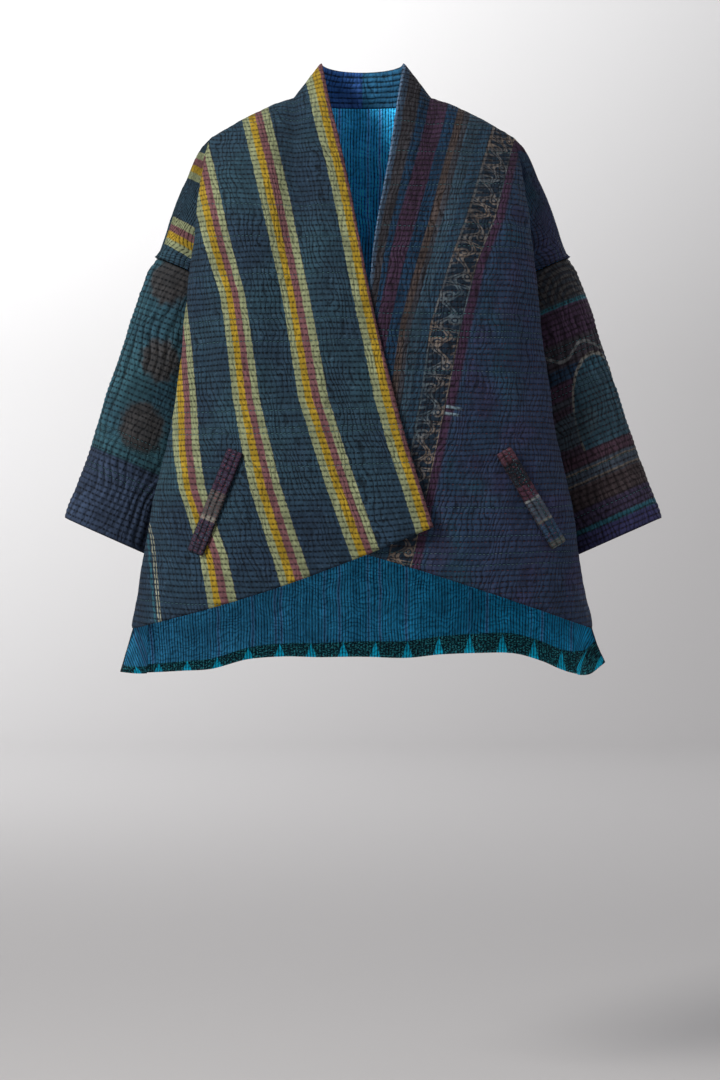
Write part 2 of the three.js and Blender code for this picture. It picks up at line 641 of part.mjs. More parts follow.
const jacket = new THREE.Group();
jacket.name = "jacket";
FRONTS.forEach((front) => jacket.add(piece(front.name, frontGeometry(front))));
jacket.add(piece("back", backGeometry()));
[["right", -1], ["left", 1]].forEach(([word, side]) => {
  jacket.add(piece(`${word}_sleeve`, sleeveGeometry(side)));
  jacket.add(piece(`${word}_collar`, collarGeometry(side)));
});
WELTS.forEach((welt) => jacket.add(piece(welt.name, weltGeometry(welt))));

export default jacket;
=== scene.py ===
"""A quilted kimono jacket of layered, overdyed cotton, filled out and held at the shoulders.

Lengths in the tables are millimetres: +Z up, +X towards the wearer's left, the front facing -Y. Each cut
piece is a surface of two parameters, one along the rows of stitching and one across them, given a thickness
and raised between the rows. Its materials read the cloth's own coordinates, which are laid on that surface,
and the broad clouds of the dye read the object's.
"""
import math
import bpy
import numpy as np
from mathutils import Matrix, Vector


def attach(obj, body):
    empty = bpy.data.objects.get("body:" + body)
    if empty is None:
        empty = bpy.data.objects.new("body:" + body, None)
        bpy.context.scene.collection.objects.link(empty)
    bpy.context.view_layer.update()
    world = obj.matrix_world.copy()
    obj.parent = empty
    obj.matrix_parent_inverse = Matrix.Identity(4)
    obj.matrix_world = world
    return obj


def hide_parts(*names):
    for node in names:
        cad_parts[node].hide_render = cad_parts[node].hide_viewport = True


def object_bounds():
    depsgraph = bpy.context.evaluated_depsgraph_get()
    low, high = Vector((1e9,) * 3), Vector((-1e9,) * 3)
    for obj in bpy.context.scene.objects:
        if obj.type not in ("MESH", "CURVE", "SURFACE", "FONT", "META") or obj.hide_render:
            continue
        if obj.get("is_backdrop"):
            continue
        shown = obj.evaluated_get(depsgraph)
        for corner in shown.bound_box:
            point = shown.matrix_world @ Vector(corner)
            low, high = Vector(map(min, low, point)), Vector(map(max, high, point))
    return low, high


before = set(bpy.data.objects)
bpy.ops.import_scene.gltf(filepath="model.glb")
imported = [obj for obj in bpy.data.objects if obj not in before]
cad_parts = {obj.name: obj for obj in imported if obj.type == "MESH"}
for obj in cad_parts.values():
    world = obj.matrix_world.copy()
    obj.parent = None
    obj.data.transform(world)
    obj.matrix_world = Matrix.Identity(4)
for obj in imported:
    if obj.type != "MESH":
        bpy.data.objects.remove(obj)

CAD_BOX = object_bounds()


def table(names, *rows):
    """Named columns of numbers from rows."""
    return {name: np.array(values, float) for name, values in zip(names.split(), zip(*rows))}


# Sizes, as in the part's own source
CLOTH = 2.4
SEAM = 0.38
NECK_HALF, NECK_BACK = 92.0, 60.0
COLLAR_TOP_HALF, COLLAR_TOP_BACK, COLLAR_HEIGHT, COLLAR_SINK, COLLAR_FOOT = 55.0, 51.0, 48.0, 3.0, -0.2
NECKLINE_DROP, SHOULDER_Y, SHOULDER_END_Z = 2.2, 8.0, -53.0
FRONT_HEM_SIDE_Z, BACK_HEM_SIDE_Z, BACK_HEM_MIDDLE_Z = -716.0, -776.0, -757.0
OVERARM_Z, UNDERARM_Z, CUFF_OUTER_Z, ARMHOLE_OUTER_Z, ARMHOLE_SLOPE = -68.0, -272.0, -566.0, -213.0, 0.46
ARM_CLEAR, SEAM_ANGLE, BACK_REACH, FILL_POWER = 7.5, 20.0, 70.0, 0.75
FRONT_ROWS, BACK_ROWS = 44, 48  # the solid's rows, which the row numbers here are counted in
ROW_POWER, CHEST_POWER, NECK_STEPS, BACK_STEPS = 1.12, 1.14, 5, 4
ARMHOLE_FROM, ARMHOLE_TO = 0.15, 0.4

TOP_LINE = table("x z", (55, 48), (92, 0), (118, -8), (162, -29), (203, -53), (218, -68), (230, -86))
BODY = table(
    "z fold foldY front tuck back turn turnY",
    (-53, 203, -22, -74, 0, 74, 185, 30), (-110, 214, -40, -88, 5, 88, 178, 52),
    (-150, 220, -42, -100, 18, 96, 182, 70), (-190, 224, -40, -108, 25, 100, 185, 84),
    (-230, 230, -38, -113, 32, 103, 184, 90), (-270, 234, -36, -117, 38, 105, 174, 93),
    (-320, 239, -32, -119, 38, 106, 184, 90), (-400, 248, -28, -121, 38, 108, 210, 88),
    (-480, 264, -23, -124, 34, 111, 236, 85), (-560, 281, -16, -126, 24, 114, 264, 79),
    (-620, 292, -8, -128, 12, 117, 282, 68), (-716, 309, 2, -130, 0, 121, 304, 50),
    (-780, 318, 4, -131, 0, 124, 320, 46))
SIDE_SEAM = table("z x y", (-272, 158, 40), (-320, 179, 45), (-400, 205, 47), (-480, 230, 47),
(-560, 258, 42),
                  (-620, 279, 35), (-716, 311, 22), (-780, 329, 18))
ARM = table("z outer width y depth", (-68, 218.9, 36, 12, 23), (-80, 227, 58, 14, 34), (-110, 240, 84, 18, 50),
            (-150, 256, 102, 24, 68), (-190, 270, 114, 32, 80), (-230, 286, 121, 39, 84),
            (-270, 301, 126, 44, 85),
            (-320, 317, 129, 47, 84), (-400, 344, 131, 49, 80), (-480, 371, 133, 51, 76),
            (-560, 402, 135, 52, 73),
            (-650, 436, 137, 53, 71))
BACK_HEM = table("x rightRise rightSwing leftRise leftSwing", (0, -3, 0, -3, 0), (60, -2, 4, -3, 4),
                 (110, 3, -3, 6, -3), (160, 4, -8, 13, -10), (210, -5, 8, 17, -2), (250, -4, 4, 9, 10),
                 (285, -3, -4, -3, 4), (308, -2, -6, -3, -6), (329, 1, -7, 15, -12))
RIGHT_EDGE = table("z x", (48, 55), (-3, 45), (-70, 29), (-138, 15), (-205, 3), (-308, -17), (-386, -36),
                   (-463, -56), (-543, -80), (-580, -92))
LEFT_EDGE = table("z x", (48, 55), (-4, 47), (-86, 35), (-158, 22), (-211, 14), (-273, 8), (-400, -12),
                  (-500, -34), (-600, -60))
FRONTS = {
    "right_front": dict(side=-1, edge=RIGHT_EDGE, hem_edge=-580, bow=10, power=1.0, lift=4.8, flap=9),
    "left_front": dict(side=1, edge=LEFT_EDGE, hem_edge=-600, bow=0, power=1.15, lift=0, flap=0),
}
WELT_WIDTH, WELT_HEIGHT = 22.0, 4.5
WELTS = {"right_welt": (-1, (165, -480), (218, -614)), "left_welt": (1, (183, -480), (257, -604))}

# Numbers along curves
clamp = lambda t: np.clip(t, 0.0, 1.0)
smooth = lambda t: clamp(t) ** 2 * (3 - 2 * clamp(t))
mix = lambda a, b, t: a + (b - a) * t


def column(tab, by, key):
    """A smooth curve through one column of a table as a function of another: between two rows a cubic that
    has the mean slope of its neighbours at each row."""
    order = np.argsort(tab[by])
    x, y = tab[by][order], tab[key][order]
    n = len(x)
    low, high = np.maximum(np.arange(n) - 1, 0), np.minimum(np.arange(n) + 1, n - 1)
    slope = (y[high] - y[low]) / (x[high] - x[low])

    def at(value):
        value = np.asarray(value, float)
        i = np.clip(np.searchsorted(x, value, side="right") - 1, 0, n - 2)
        step = x[i + 1] - x[i]
        t = clamp((value - x[i]) / step)
        bend = t * (1 - t) * step * ((1 - t) * slope[i] - t * slope[i + 1])
        return mix(y[i], y[i + 1], t * t * (3 - 2 * t)) + bend

    return at


body = {key: column(BODY, "z", key) for key in BODY}
arm = {key: column(ARM, "z", key) for key in ARM}
hem = {key: column(BACK_HEM, "x", key) for key in BACK_HEM}
seam_x, seam_y = column(SIDE_SEAM, "z", "x"), column(SIDE_SEAM, "z", "y")
top_line = lambda x: np.interp(x, TOP_LINE["x"], TOP_LINE["z"])
filled = lambda drops: (1 - np.exp(-np.maximum(0, drops))) ** FILL_POWER
row_share = lambda row, rows: (row / rows) ** ROW_POWER
stack = lambda *parts: np.stack(np.broadcast_arrays(*[np.asarray(p, float) for p in parts]), axis=-1)


def lattice(i, j, seed):
    """A fixed pseudo-random number from -1 to 1 for each pair of whole numbers."""
    h = np.sin(i * 127.1 + j * 311.7 + seed * 74.7) * 43758.5453
    return 2 * (h - np.floor(h)) - 1


def uneven(u, v, seed):
    """Smooth unevenness from -1 to 1: lattice numbers at whole u and v, eased between them."""
    i, j = np.floor(u), np.floor(v)
    s, t = smooth(u - i), smooth(v - j)
    low = mix(lattice(i, j, seed), lattice(i + 1, j, seed), s)
    return mix(low, mix(lattice(i, j + 1, seed), lattice(i + 1, j + 1, seed), s), t)


# The form
def front_y(x, z):
    """Depth of the front's cloth: from the fold's depth to the middle's along a rounded section, reached
    gradually below the top line."""
    across = clamp(np.abs(x) / body["fold"](z))
    section = mix(body["foldY"](z), body["front"](z), np.sqrt(1 - across ** 2.2))
    reach = mix(150.0, 80.0, smooth((np.abs(x) - 80) / 60))
    return mix(SHOULDER_Y, section, filled((top_line(np.abs(x)) - z) / reach))


def neck_y(x):
    """Depth of the neckline: half an ellipse behind the shoulders."""
    return SHOULDER_Y + NECK_BACK * np.sqrt(np.maximum(0, 1 - (x / NECK_HALF) ** 2))


def back_top_z(x):
    """Height of the back's top edge: a little below the neck opening, then along the shoulders."""
    return np.where(x < NECK_HALF, -NECKLINE_DROP, np.minimum(-NECKLINE_DROP / 2, top_line(x)))


def back_y(x, z):
    """Depth of the back's cloth, worked out as the front's is, with the neckline cut into the shoulders."""
    section = mix(body["back"](z), body["turnY"](z), (x / body["turn"](z)) ** 2.6)
    at_top = mix(body["back"](0), body["turnY"](0), (x / body["turn"](0)) ** 2.6)
    share = clamp((neck_y(x) - SHOULDER_Y) / (at_top - SHOULDER_Y))
    start = -np.log(1 - share ** (1 / FILL_POWER))
    return mix(SHOULDER_Y, section, filled(start + (back_top_z(x) - z) / BACK_REACH))


def arm_point(z, angle):
    """A point of the arm's tube: an ellipse at each height; angle 0 is outermost and 90 the front."""
    half, a = arm["width"](z) / 2, np.radians(angle)
    return stack(arm["outer"](z) - half + half * np.cos(a), arm["y"](z) - arm["depth"](z) / 2 * np.sin(a), z)


def arm_normal(z, angle):
    """The ellipse's normal at a height and an angle."""
    a = np.radians(angle)
    n = stack(np.cos(a) / arm["width"](z), -np.sin(a) / arm["depth"](z), np.zeros(np.shape(z)))
    return n / np.linalg.norm(n, axis=-1, keepdims=True)


def cut_point(outer_z, angle):
    """The tube's point on a slanting cut that starts at outer_z on the outermost line."""
    z = outer_z + 0.0 * np.asarray(angle, float)
    for _ in range(6):
        z = outer_z - ARMHOLE_SLOPE * (arm["outer"](outer_z) - arm_point(z, angle)[..., 0])
    return arm_point(z, angle)


def underarm(angle):
    """How far the seam opens under the arm, in two smooth steps of the angle."""
    turned = np.abs(angle)
    return 0.5 * smooth((turned - 82) / 22) + 0.6 * smooth((turned - 145) / 30)


def clear_of_arm(p):
    """Moves points of the body out of the sleeve's way below the armhole's cut."""
    half = arm["width"](p[..., 2]) / 2
    reach_x, reach_y = half + ARM_CLEAR, arm["depth"](p[..., 2]) / 2 + ARM_CLEAR
    dx = (p[..., 0] - arm["outer"](p[..., 2]) + half) / reach_x
    dy = (p[..., 1] - arm["y"](p[..., 2])) / reach_y
    near = np.maximum(np.hypot(dx, dy), 1e-3)
    cut_z = ARMHOLE_OUTER_Z - ARMHOLE_SLOPE * (arm["outer"](ARMHOLE_OUTER_Z) - p[..., 0])
    push = np.where(near < 1, 1 / near - 1, 0) * smooth((cut_z + 6 - p[..., 2]) / 6)
    return p + stack(dx * push * reach_x, dy * push * reach_y, 0 * push)


def row_end(share, facing, side_z):
    """Where rows end outside: on the overarm seam, round the armhole, then down the side seam."""
    seam = np.array([0, -facing * SEAM / 2, 0])
    z_top = mix(OVERARM_Z, cut_point(ARMHOLE_OUTER_Z, SEAM_ANGLE)[2], share / ARMHOLE_FROM)
    angle = mix(SEAM_ANGLE, facing * 180.0, clamp((share - ARMHOLE_FROM) / (ARMHOLE_TO - ARMHOLE_FROM)))
    ring = cut_point(ARMHOLE_OUTER_Z, angle)
    ring[:, 2] += SEAM / 2 + 0.5 + underarm(angle)
    side = stack(seam_x(side_z), seam_y(side_z), side_z) + seam
    on_arm, on_ring = (share <= ARMHOLE_FROM)[:, None], (share < ARMHOLE_TO)[:, None]
    return np.where(on_arm, arm_point(z_top, SEAM_ANGLE) + seam, np.where(on_ring, ring, side)), angle


def fold_points(start, leave, end, landing, angle, facing, share, steps):
    """The rest of each row past its fold: a cubic round the fold, on to the arm, and along it to the row's
    end, cut into equal lengths; at the shoulder seam it lies flat."""
    on_arm = (np.abs(angle) < np.abs(landing) - 8) & (start[:, 2] > end[:, 2] + 4) & (share < ARMHOLE_TO)
    place = lambda t: arm_point(mix(start[:, 2:3], end[:, 2:3], t), mix(landing[:, None], angle[:, None], t))
    hook = mix(0.25, 0.05, clamp(np.abs(angle) / np.abs(landing)))[:, None]
    land = np.where(on_arm[:, None], place(hook)[:, 0], end)
    span = np.linalg.norm(land - start, axis=1, keepdims=True)
    along = (place(hook + 0.05) - place(hook))[:, 0]
    along *= 0.8 * span / np.maximum(np.linalg.norm(along, axis=1, keepdims=True), 1e-6)
    arrive = np.where(on_arm[:, None], along, np.array([0, facing * 0.9, 0]) * span)
    leave = leave / np.linalg.norm(leave, axis=1, keepdims=True) * span
    t = np.linspace(0, 1, 25)[None, :-1, None]
    h = (2 * t ** 3 - 3 * t ** 2 + 1, t ** 3 - 2 * t ** 2 + t, 3 * t ** 2 - 2 * t ** 3, t ** 3 - t ** 2)
    round_fold = h[0] * start[:, None] + h[1] * leave[:, None] + h[2] * land[:, None] + h[3] * arrive[:, None]
    drawn = mix(start[:, None, 2], end[:, None, 2], smooth(1.7 * t[..., 0]))
    round_fold[..., 2] = np.where(on_arm[:, None], round_fold[..., 2], drawn)
    on_tube = place(mix(hook, 1, np.linspace(0, 1, 25)[None, :-1]))
    on_tube = np.where(on_arm[:, None, None], on_tube, end[:, None])
    line = np.concatenate([round_fold, on_tube, end[:, None]], axis=1)
    length = np.concatenate([np.zeros((len(line), 1)),
                             np.cumsum(np.linalg.norm(np.diff(line, axis=1), axis=2), axis=1)], axis=1)
    part = np.arange(1, steps + 1) / steps
    out = np.empty((len(line), steps, 3))
    for r in range(len(line)):
        for k in range(3):
            out[r, :, k] = np.interp(part * length[r, -1], length[r], line[r, :, k])
    out[:, :-1] = clear_of_arm(out[:, :-1])
    flat = mix(start[:, None], end[:, None], part[None, :, None])
    seam_row = (share < 1e-6)[:, None] & (part < 1)[None]
    flat[..., 2] = np.where(seam_row, top_line(flat[..., 0]), flat[..., 2])
    return mix(flat, out, smooth(share / 0.07)[:, None, None])


def front_surface(front, rows, chest, folds):
    """Middle surface of a front on its own side: rows from the free edge across the chest to the fold,
    then round it to the outer seam."""
    share = row_share(rows, FRONT_ROWS)
    part = np.sin(np.pi / 2 * np.linspace(0, 1, chest + 1) ** CHEST_POWER)[None]
    s = share[:, None]
    fold_z = mix(SHOULDER_END_Z, FRONT_HEM_SIDE_Z, s)
    top_x = mix(COLLAR_TOP_HALF, body["fold"](SHOULDER_END_Z), part)
    top = mix(top_line(top_x), mix(COLLAR_HEIGHT, SHOULDER_END_Z, part), clamp(s / 0.25))
    fall = mix(front["hem_edge"], FRONT_HEM_SIDE_Z, part ** front["power"]) - front["bow"] * np.sin(np.pi * part)
    z = mix(top, fall, s)
    edge_x = column(front["edge"], "z", "x")(mix(COLLAR_HEIGHT, front["hem_edge"], s))
    x = mix(edge_x, body["fold"](fold_z), part)
    over = smooth((125 - x) / 60) * smooth((-z - 120) / 110)
    lift = over * (front["lift"] + front["flap"] * smooth((-z - 380) / 200) * smooth((20 - x) / 90))
    seam = SEAM / 2 * np.exp(-s * 400)
    points = stack(x, front_y(x, z) - lift - seam, z)
    side_z = mix(UNDERARM_Z, FRONT_HEM_SIDE_Z, clamp((share - ARMHOLE_TO) / (1 - ARMHOLE_TO)))
    end, angle = row_end(share, 1, side_z)
    fz = fold_z[:, 0]
    half = arm["width"](fz) / 2
    where = (body["fold"](fz) - body["tuck"](fz) - arm["outer"](fz) + half) / half
    landing = np.degrees(np.arccos(np.clip(where, -0.9, 0.9)))
    leave = np.tile([0.05, 1.0, 0.0], (len(rows), 1))
    folded = fold_points(points[:, -1], leave, end, landing, angle, 1, share, folds)
    return np.concatenate([points, folded], axis=1)


def back_half(side, rows, middle, folds):
    """Middle surface of one half of the back, from centre back to its outer seam, with the hem's waves."""
    share = row_share(np.minimum(rows, FRONT_ROWS), FRONT_ROWS)
    vent = np.maximum(0, rows - FRONT_ROWS) / (BACK_ROWS - FRONT_ROWS)
    whole, s = row_share(rows, BACK_ROWS)[:, None], share[:, None]
    side_z = np.where(vent > 0, mix(FRONT_HEM_SIDE_Z, BACK_HEM_SIDE_Z, vent),
                      mix(UNDERARM_Z, FRONT_HEM_SIDE_Z, clamp((share - ARMHOLE_TO) / (1 - ARMHOLE_TO))))
    turn_top = body["turn"](SHOULDER_END_Z)
    turn_z = np.where(vent > 0, side_z, mix(top_line(turn_top), FRONT_HEM_SIDE_Z, share))
    i = np.linspace(0, NECK_STEPS + BACK_STEPS, middle + 1)[None]
    neck_part = NECK_HALF / turn_top * np.sin(np.radians(90 * np.minimum(i, NECK_STEPS) / NECK_STEPS))
    part = np.where(i <= NECK_STEPS, neck_part, mix(neck_part, 1, (i - NECK_STEPS) / BACK_STEPS))
    level = mix(mix(-NECKLINE_DROP, BACK_HEM_MIDDLE_Z, whole), turn_z[:, None], smooth(part))
    top = back_top_z(turn_top * part)
    z = mix(top + np.where(s > 0, level, 0), level, clamp(s / 0.12))
    z = np.where(s > 0, z, top)
    x = body["turn"](turn_z)[:, None] * part
    points = stack(x, back_y(x, z) + SEAM / 2 * np.exp(-s * 400), z)
    end, angle = row_end(share, -1, side_z)
    slope = -2.6 * (body["back"](turn_z) - body["turnY"](turn_z)) / body["turn"](turn_z)
    leave = stack(np.ones(len(rows)), slope, np.zeros(len(rows)))
    landing = np.full(len(rows), -105.0)
    folded = fold_points(points[:, -1], leave, end, landing, angle, -1, share, folds)
    points = np.concatenate([points, folded], axis=1)
    free = mix(smooth((seam_x(points[..., 2]) - points[..., 0]) / 45), 1, smooth(vent)[:, None])
    low = free * smooth((-points[..., 2] - 560) / 200) ** 1.5
    word = "left" if side > 0 else "right"
    at = points[..., 0].copy()
    points[..., 2] += low * hem[word + "Rise"](at)
    points[..., 1] += low * hem[word + "Swing"](at)
    return points


def sleeve_surface(down, around):
    """Middle surface of a sleeve: slanting rings down the arm, fuller than the armhole just below its seam.
    The rings start under the arm, where the seam runs."""
    share = down[:, None]
    angle = 180.0 + 360.0 * around[None]
    outer_z = mix(ARMHOLE_OUTER_Z, CUFF_OUTER_Z, share)
    point = cut_point(outer_z, angle)
    normal = arm_normal(point[..., 2], angle)
    off = np.abs((angle % 360) - 180)
    deep = smooth((off - 20) / -90 + 1)
    point += normal * (4 * smooth(share / 0.06) * (1 - deep))[..., None]
    point[..., 2] -= np.exp(-share * 400) * (SEAM / 2 + underarm(180 - off))
    return point, normal


# Walls of cloth
def normals_of(grid, closed=False):
    """Unit normals of a grid of points, from the differences between neighbours."""
    across = (np.roll(grid, -1, axis=1) - np.roll(grid, 1, axis=1)) if closed else np.gradient(grid, axis=1)
    return unit(np.cross(across, np.gradient(grid, axis=0)))


def unit(vectors):
    """Vectors made one unit long."""
    return vectors / np.maximum(np.linalg.norm(vectors, axis=-1, keepdims=True), 1e-9)


def lengths(grid, axis):
    """Distance along the grid from its first line, in millimetres."""
    step = np.linalg.norm(np.diff(grid, axis=axis), axis=-1)
    return np.pad(np.cumsum(step, axis=axis), [(1, 0), (0, 0)] if axis == 0 else [(0, 0), (1, 0)])


def signed_volume(verts, faces):
    """Six times the volume inside quads or triangles, less than nothing where they face inwards."""
    a, b, c, d = (verts[faces[:, k]] for k in (0, 1, 2, -1))
    return np.sum(a * np.cross(b, c)) + np.sum(a * np.cross(c, d))


def solid(name, verts, faces, seats, layers, materials, slots):
    """A closed mesh from points in millimetres and quads, a triangle being a quad whose last two corners are
    one point. seats say which row of the layers each corner reads its cloth coordinates from."""
    if signed_volume(verts, faces) < 0:
        faces, seats = faces[:, ::-1], seats[:, ::-1]
        twice = faces[:, 0] == faces[:, 1]
        faces[twice], seats[twice] = np.roll(faces[twice], -1, axis=1), np.roll(seats[twice], -1, axis=1)
    sides = np.where(faces[:, 2] == faces[:, 3], 3, 4)
    kept = np.arange(4)[None] < sides[:, None]
    corners, places = faces[kept], seats[kept]
    mesh = bpy.data.meshes.new(name)
    mesh.vertices.add(len(verts))
    mesh.vertices.foreach_set("co", (verts / 1000).ravel())
    mesh.loops.add(len(corners))
    mesh.loops.foreach_set("vertex_index", corners.astype(np.int32))
    mesh.polygons.add(len(faces))
    mesh.polygons.foreach_set("loop_start", (np.cumsum(sides) - sides).astype(np.int32))
    mesh.polygons.foreach_set("use_smooth", np.ones(len(faces), bool))
    mesh.polygons.foreach_set("material_index", slots.astype(np.int32))
    for layer, vectors in layers.items():
        values = np.asarray(vectors, np.float32).reshape(-1, 3)[places]
        mesh.attributes.new(layer, "FLOAT_VECTOR", "CORNER").data.foreach_set("vector", values.ravel())
    mesh.update(calc_edges=True)
    for material in materials:
        mesh.materials.append(material)
    piece = bpy.data.objects.new(name, mesh)
    bpy.context.collection.objects.link(piece)
    return piece


def quads(g):
    """The quads between the rows and columns of a grid of point numbers."""
    return np.stack([g[:-1, :-1], g[1:, :-1], g[1:, 1:], g[:-1, 1:]], axis=-1).reshape(-1, 4)


def cloth_wall(name, middle, normal, proud, deep, layers, materials, closed=False):
    """A closed wall of cloth: its outer face is proud, and its inner face deep, of a middle grid of points,
    along the normals. layers hold vectors of the cloth's own coordinates, with one more column than the
    points where the grid closes into a ring. The first material is outside and on the rims."""
    rows, cols = middle.shape[:2]
    verts = np.concatenate([(middle + normal * proud[..., None]).reshape(-1, 3),
                            (middle - normal * deep[..., None]).reshape(-1, 3)])
    n = np.arange(rows * cols).reshape(rows, cols)
    n = np.concatenate([n, n[:, :1]], axis=1) if closed else n
    m = n + rows * cols
    seat = np.arange(n.size).reshape(n.shape)
    strip = lambda a, b: np.stack([a[:-1], a[1:], b[1:], b[:-1]], axis=-1)
    faces, seats = [quads(n), quads(m)[:, ::-1]], [quads(seat), quads(seat)[:, ::-1]]
    rims = [(0, slice(None), 1), (-1, slice(None), -1)]
    rims += [] if closed else [(slice(None), 0, -1), (slice(None), -1, 1)]
    for r, c, way in rims:
        faces.append(strip(n[r, c][::way], m[r, c][::way]))
        seats.append(strip(seat[r, c][::way], seat[r, c][::way]))
    slots = np.zeros(sum(len(f) for f in faces))
    slots[len(faces[0]):2 * len(faces[0])] = len(materials) - 1
    return solid(name, verts, np.concatenate(faces), np.concatenate(seats), layers, materials, slots)


def rounded_bar(name, rings, layers, materials):
    """A closed bar from rings of points, closed round their second axis, with a fan at either end."""
    count, around = rings.shape[:2]
    verts = np.concatenate([rings.reshape(-1, 3), rings[[0, -1]].mean(axis=1)])
    n = np.arange(count * around).reshape(count, around)
    n = np.concatenate([n, n[:, :1]], axis=1)
    seat = np.arange(n.size).reshape(n.shape)
    fan = lambda line, middle: np.stack([line[:-1], line[1:], middle, middle], axis=-1)
    tips = [np.full(around, count * around), np.full(around, count * around + 1)]
    faces = [quads(n), fan(n[0], tips[0]), fan(n[-1][::-1], tips[1])]
    seats = [quads(seat), fan(seat[0], seat[0, :-1]), fan(seat[-1][::-1], seat[-1][::-1][:-1])]
    faces, seats = np.concatenate(faces), np.concatenate(seats)
    return solid(name, verts, faces, seats, layers, materials, np.zeros(len(faces)))


# Creases given one by one: from one point to another, how far the line bows sideways, half its width, and its
# rise, in millimetres, in the plane that each table names
CREASE_NAMES = "x0 z0 x1 z1 bow width rise"
RIGHT_FRONT_CREASES = table(
    CREASE_NAMES,
    (190, -62, 150, -300, 10, 16, 2.6), (205, -70, 186, -330, -6, 12, 2.4),
    (170, -50, 92, -230, -8, 18, -2.0),
    (60, -120, 40, -330, 6, 22, 1.8), (110, -240, 96, -420, -6, 24, -1.8),
    (215, -250, 206, -460, 4, 14, -2.2),
    (228, -330, 240, -560, 3, 13, 2.2), (150, -470, 170, -690, 6, 20, 2.0),
    (60, -450, 40, -650, -5, 22, -1.8),
    (10, -300, -22, -520, 4, 20, 1.8), (270, -560, 290, -712, 4, 14, -2.0),
    (100, -560, 112, -690, 4, 18, -1.6),
    (201.8, -463, 139.7, -443, 2, 3.2, 1.1), (139.7, -443, 99.2, -431, 1, 3.0, 1.0),
    (99, -432, 3, -425, -2, 3.2, 0.9),
    (99, -432, 75, -516, -2, 3.4, 0.9), (75, -516, 36, -625, -3, 3.6, 1.0),
    (249, -603, 221, -695, 2, 3.4, -1.6))
LEFT_FRONT_CREASES = table(
    CREASE_NAMES,
    (188, -62, 160, -280, -8, 15, 2.6), (206, -72, 196, -340, 6, 12, 2.2), (165, -48, 110, -240, 8, 17, -2.0),
    (90, -150, 84, -340, 5, 20, 1.8), (140, -260, 150, -430, 6, 22, -1.8),
    (214, -260, 222, -470, -3, 13, -2.4),
    (236, -330, 252, -540, 4, 12, 2.2), (180, -500, 200, -690, -6, 18, 2.0),
    (70, -420, 96, -660, 6, 20, -1.6),
    (120, -600, 132, -690, 4, 16, 1.8), (286, -570, 298, -714, -3, 13, -2.2),
    (240, -620, 246, -700, 2, 12, 1.8),
    (118, -432, 202, -454, 2, 3.2, 1.1), (202, -454, 267, -471, 1, 3.2, 1.0),
    (117, -441, 109, -543, 2, 3.4, 1.0),
    (109, -543, 91, -624, 2, 3.6, 1.0), (276, -640, 264, -682, 1, 3.4, -1.8))
BACK_CREASES = table(
    CREASE_NAMES,
    (-60, -30, -120, -260, -10, 20, 2.2), (70, -34, 128, -250, 12, 22, 2.2),
    (-10, -60, -30, -420, 8, 26, -1.8),
    (40, -300, 62, -700, -8, 26, 2.2), (-110, -320, -140, -720, 8, 24, 2.0),
    (150, -360, 190, -740, -8, 22, -2.4),
    (-190, -360, -230, -740, 7, 22, -2.4), (-40, -500, -52, -750, 5, 20, -2.0),
    (110, -560, 122, -760, 4, 18, 2.2),
    (230, -480, 268, -750, -6, 18, 2.4), (-262, -520, -290, -750, 5, 16, 2.2),
    (-150, -120, -168, -300, -5, 16, 1.8),
    (158, -110, 172, -290, 6, 16, 2.0))
# Across and down the sleeve from the outermost line of the shoulder's seam; the front is positive
SLEEVE_CREASES = table(
    CREASE_NAMES,
    (150, 4, 92, 150, -10, 13, 2.4), (128, 0, 40, 120, 8, 14, -2.2), (165, 40, 120, 240, 8, 14, -2.4),
    (100, 130, 60, 300, 9, 18, 2.2), (20, 30, 10, 220, 4, 20, 1.8), (150, 210, 110, 345, -6, 15, 2.2),
    (40, 230, 26, 352, -4, 16, -1.8), (-60, 10, -30, 180, 8, 16, 2.2), (-120, 20, -90, 240, -9, 18, -2.2),
    (-90, 200, -60, 350, 6, 18, 2.0), (-150, 120, -140, 330, 4, 15, 2.2), (180, 270, 160, 352, 3, 12, -2.0))


def creases(x, z, rows, shift=0.0):
    """Rise of the creases: across its line each falls off like a bell curve, and it fades towards its ends."""
    total = np.zeros(np.shape(x))
    for x0, z0, x1, z1, bow, width, rise in zip(*rows.values()):
        long = math.hypot(x1 - x0, z1 - z0)
        t = ((x - x0 - shift) * (x1 - x0) + (z - z0) * (z1 - z0)) / long ** 2
        off = ((x - x0 - shift) * (z1 - z0) - (z - z0) * (x1 - x0)) / long - bow * np.sin(np.pi * clamp(t))
        total += rise * np.exp(-(off / width) ** 2) * smooth(t / 0.25) * smooth((1 - t) / 0.25)
    return total


# The cut pieces
BAND = 7.5  # between two lines of stitching
# Cells of the fine grids: across the chest and round the fold, across half the back and round its fold
CHEST_CELLS, FOLD_CELLS, BACK_CELLS, BACK_FOLD_CELLS, BACK_ROW_COUNT = 84, 44, 84, 42, 139


def stitched_rows(surface, last):
    """Row numbers, two to a band, for which the bands are equally wide down the middle of the piece."""
    rows = np.linspace(0, last, 6 * last + 1)
    grid = surface(rows)
    third = grid.shape[1] // 3
    down = lengths(grid[:, third:third + 1], 0)[:, 0]
    bands = int(round(down[-1] / BAND))
    return np.interp(np.linspace(0, down[-1], 2 * bands + 1), down, rows)


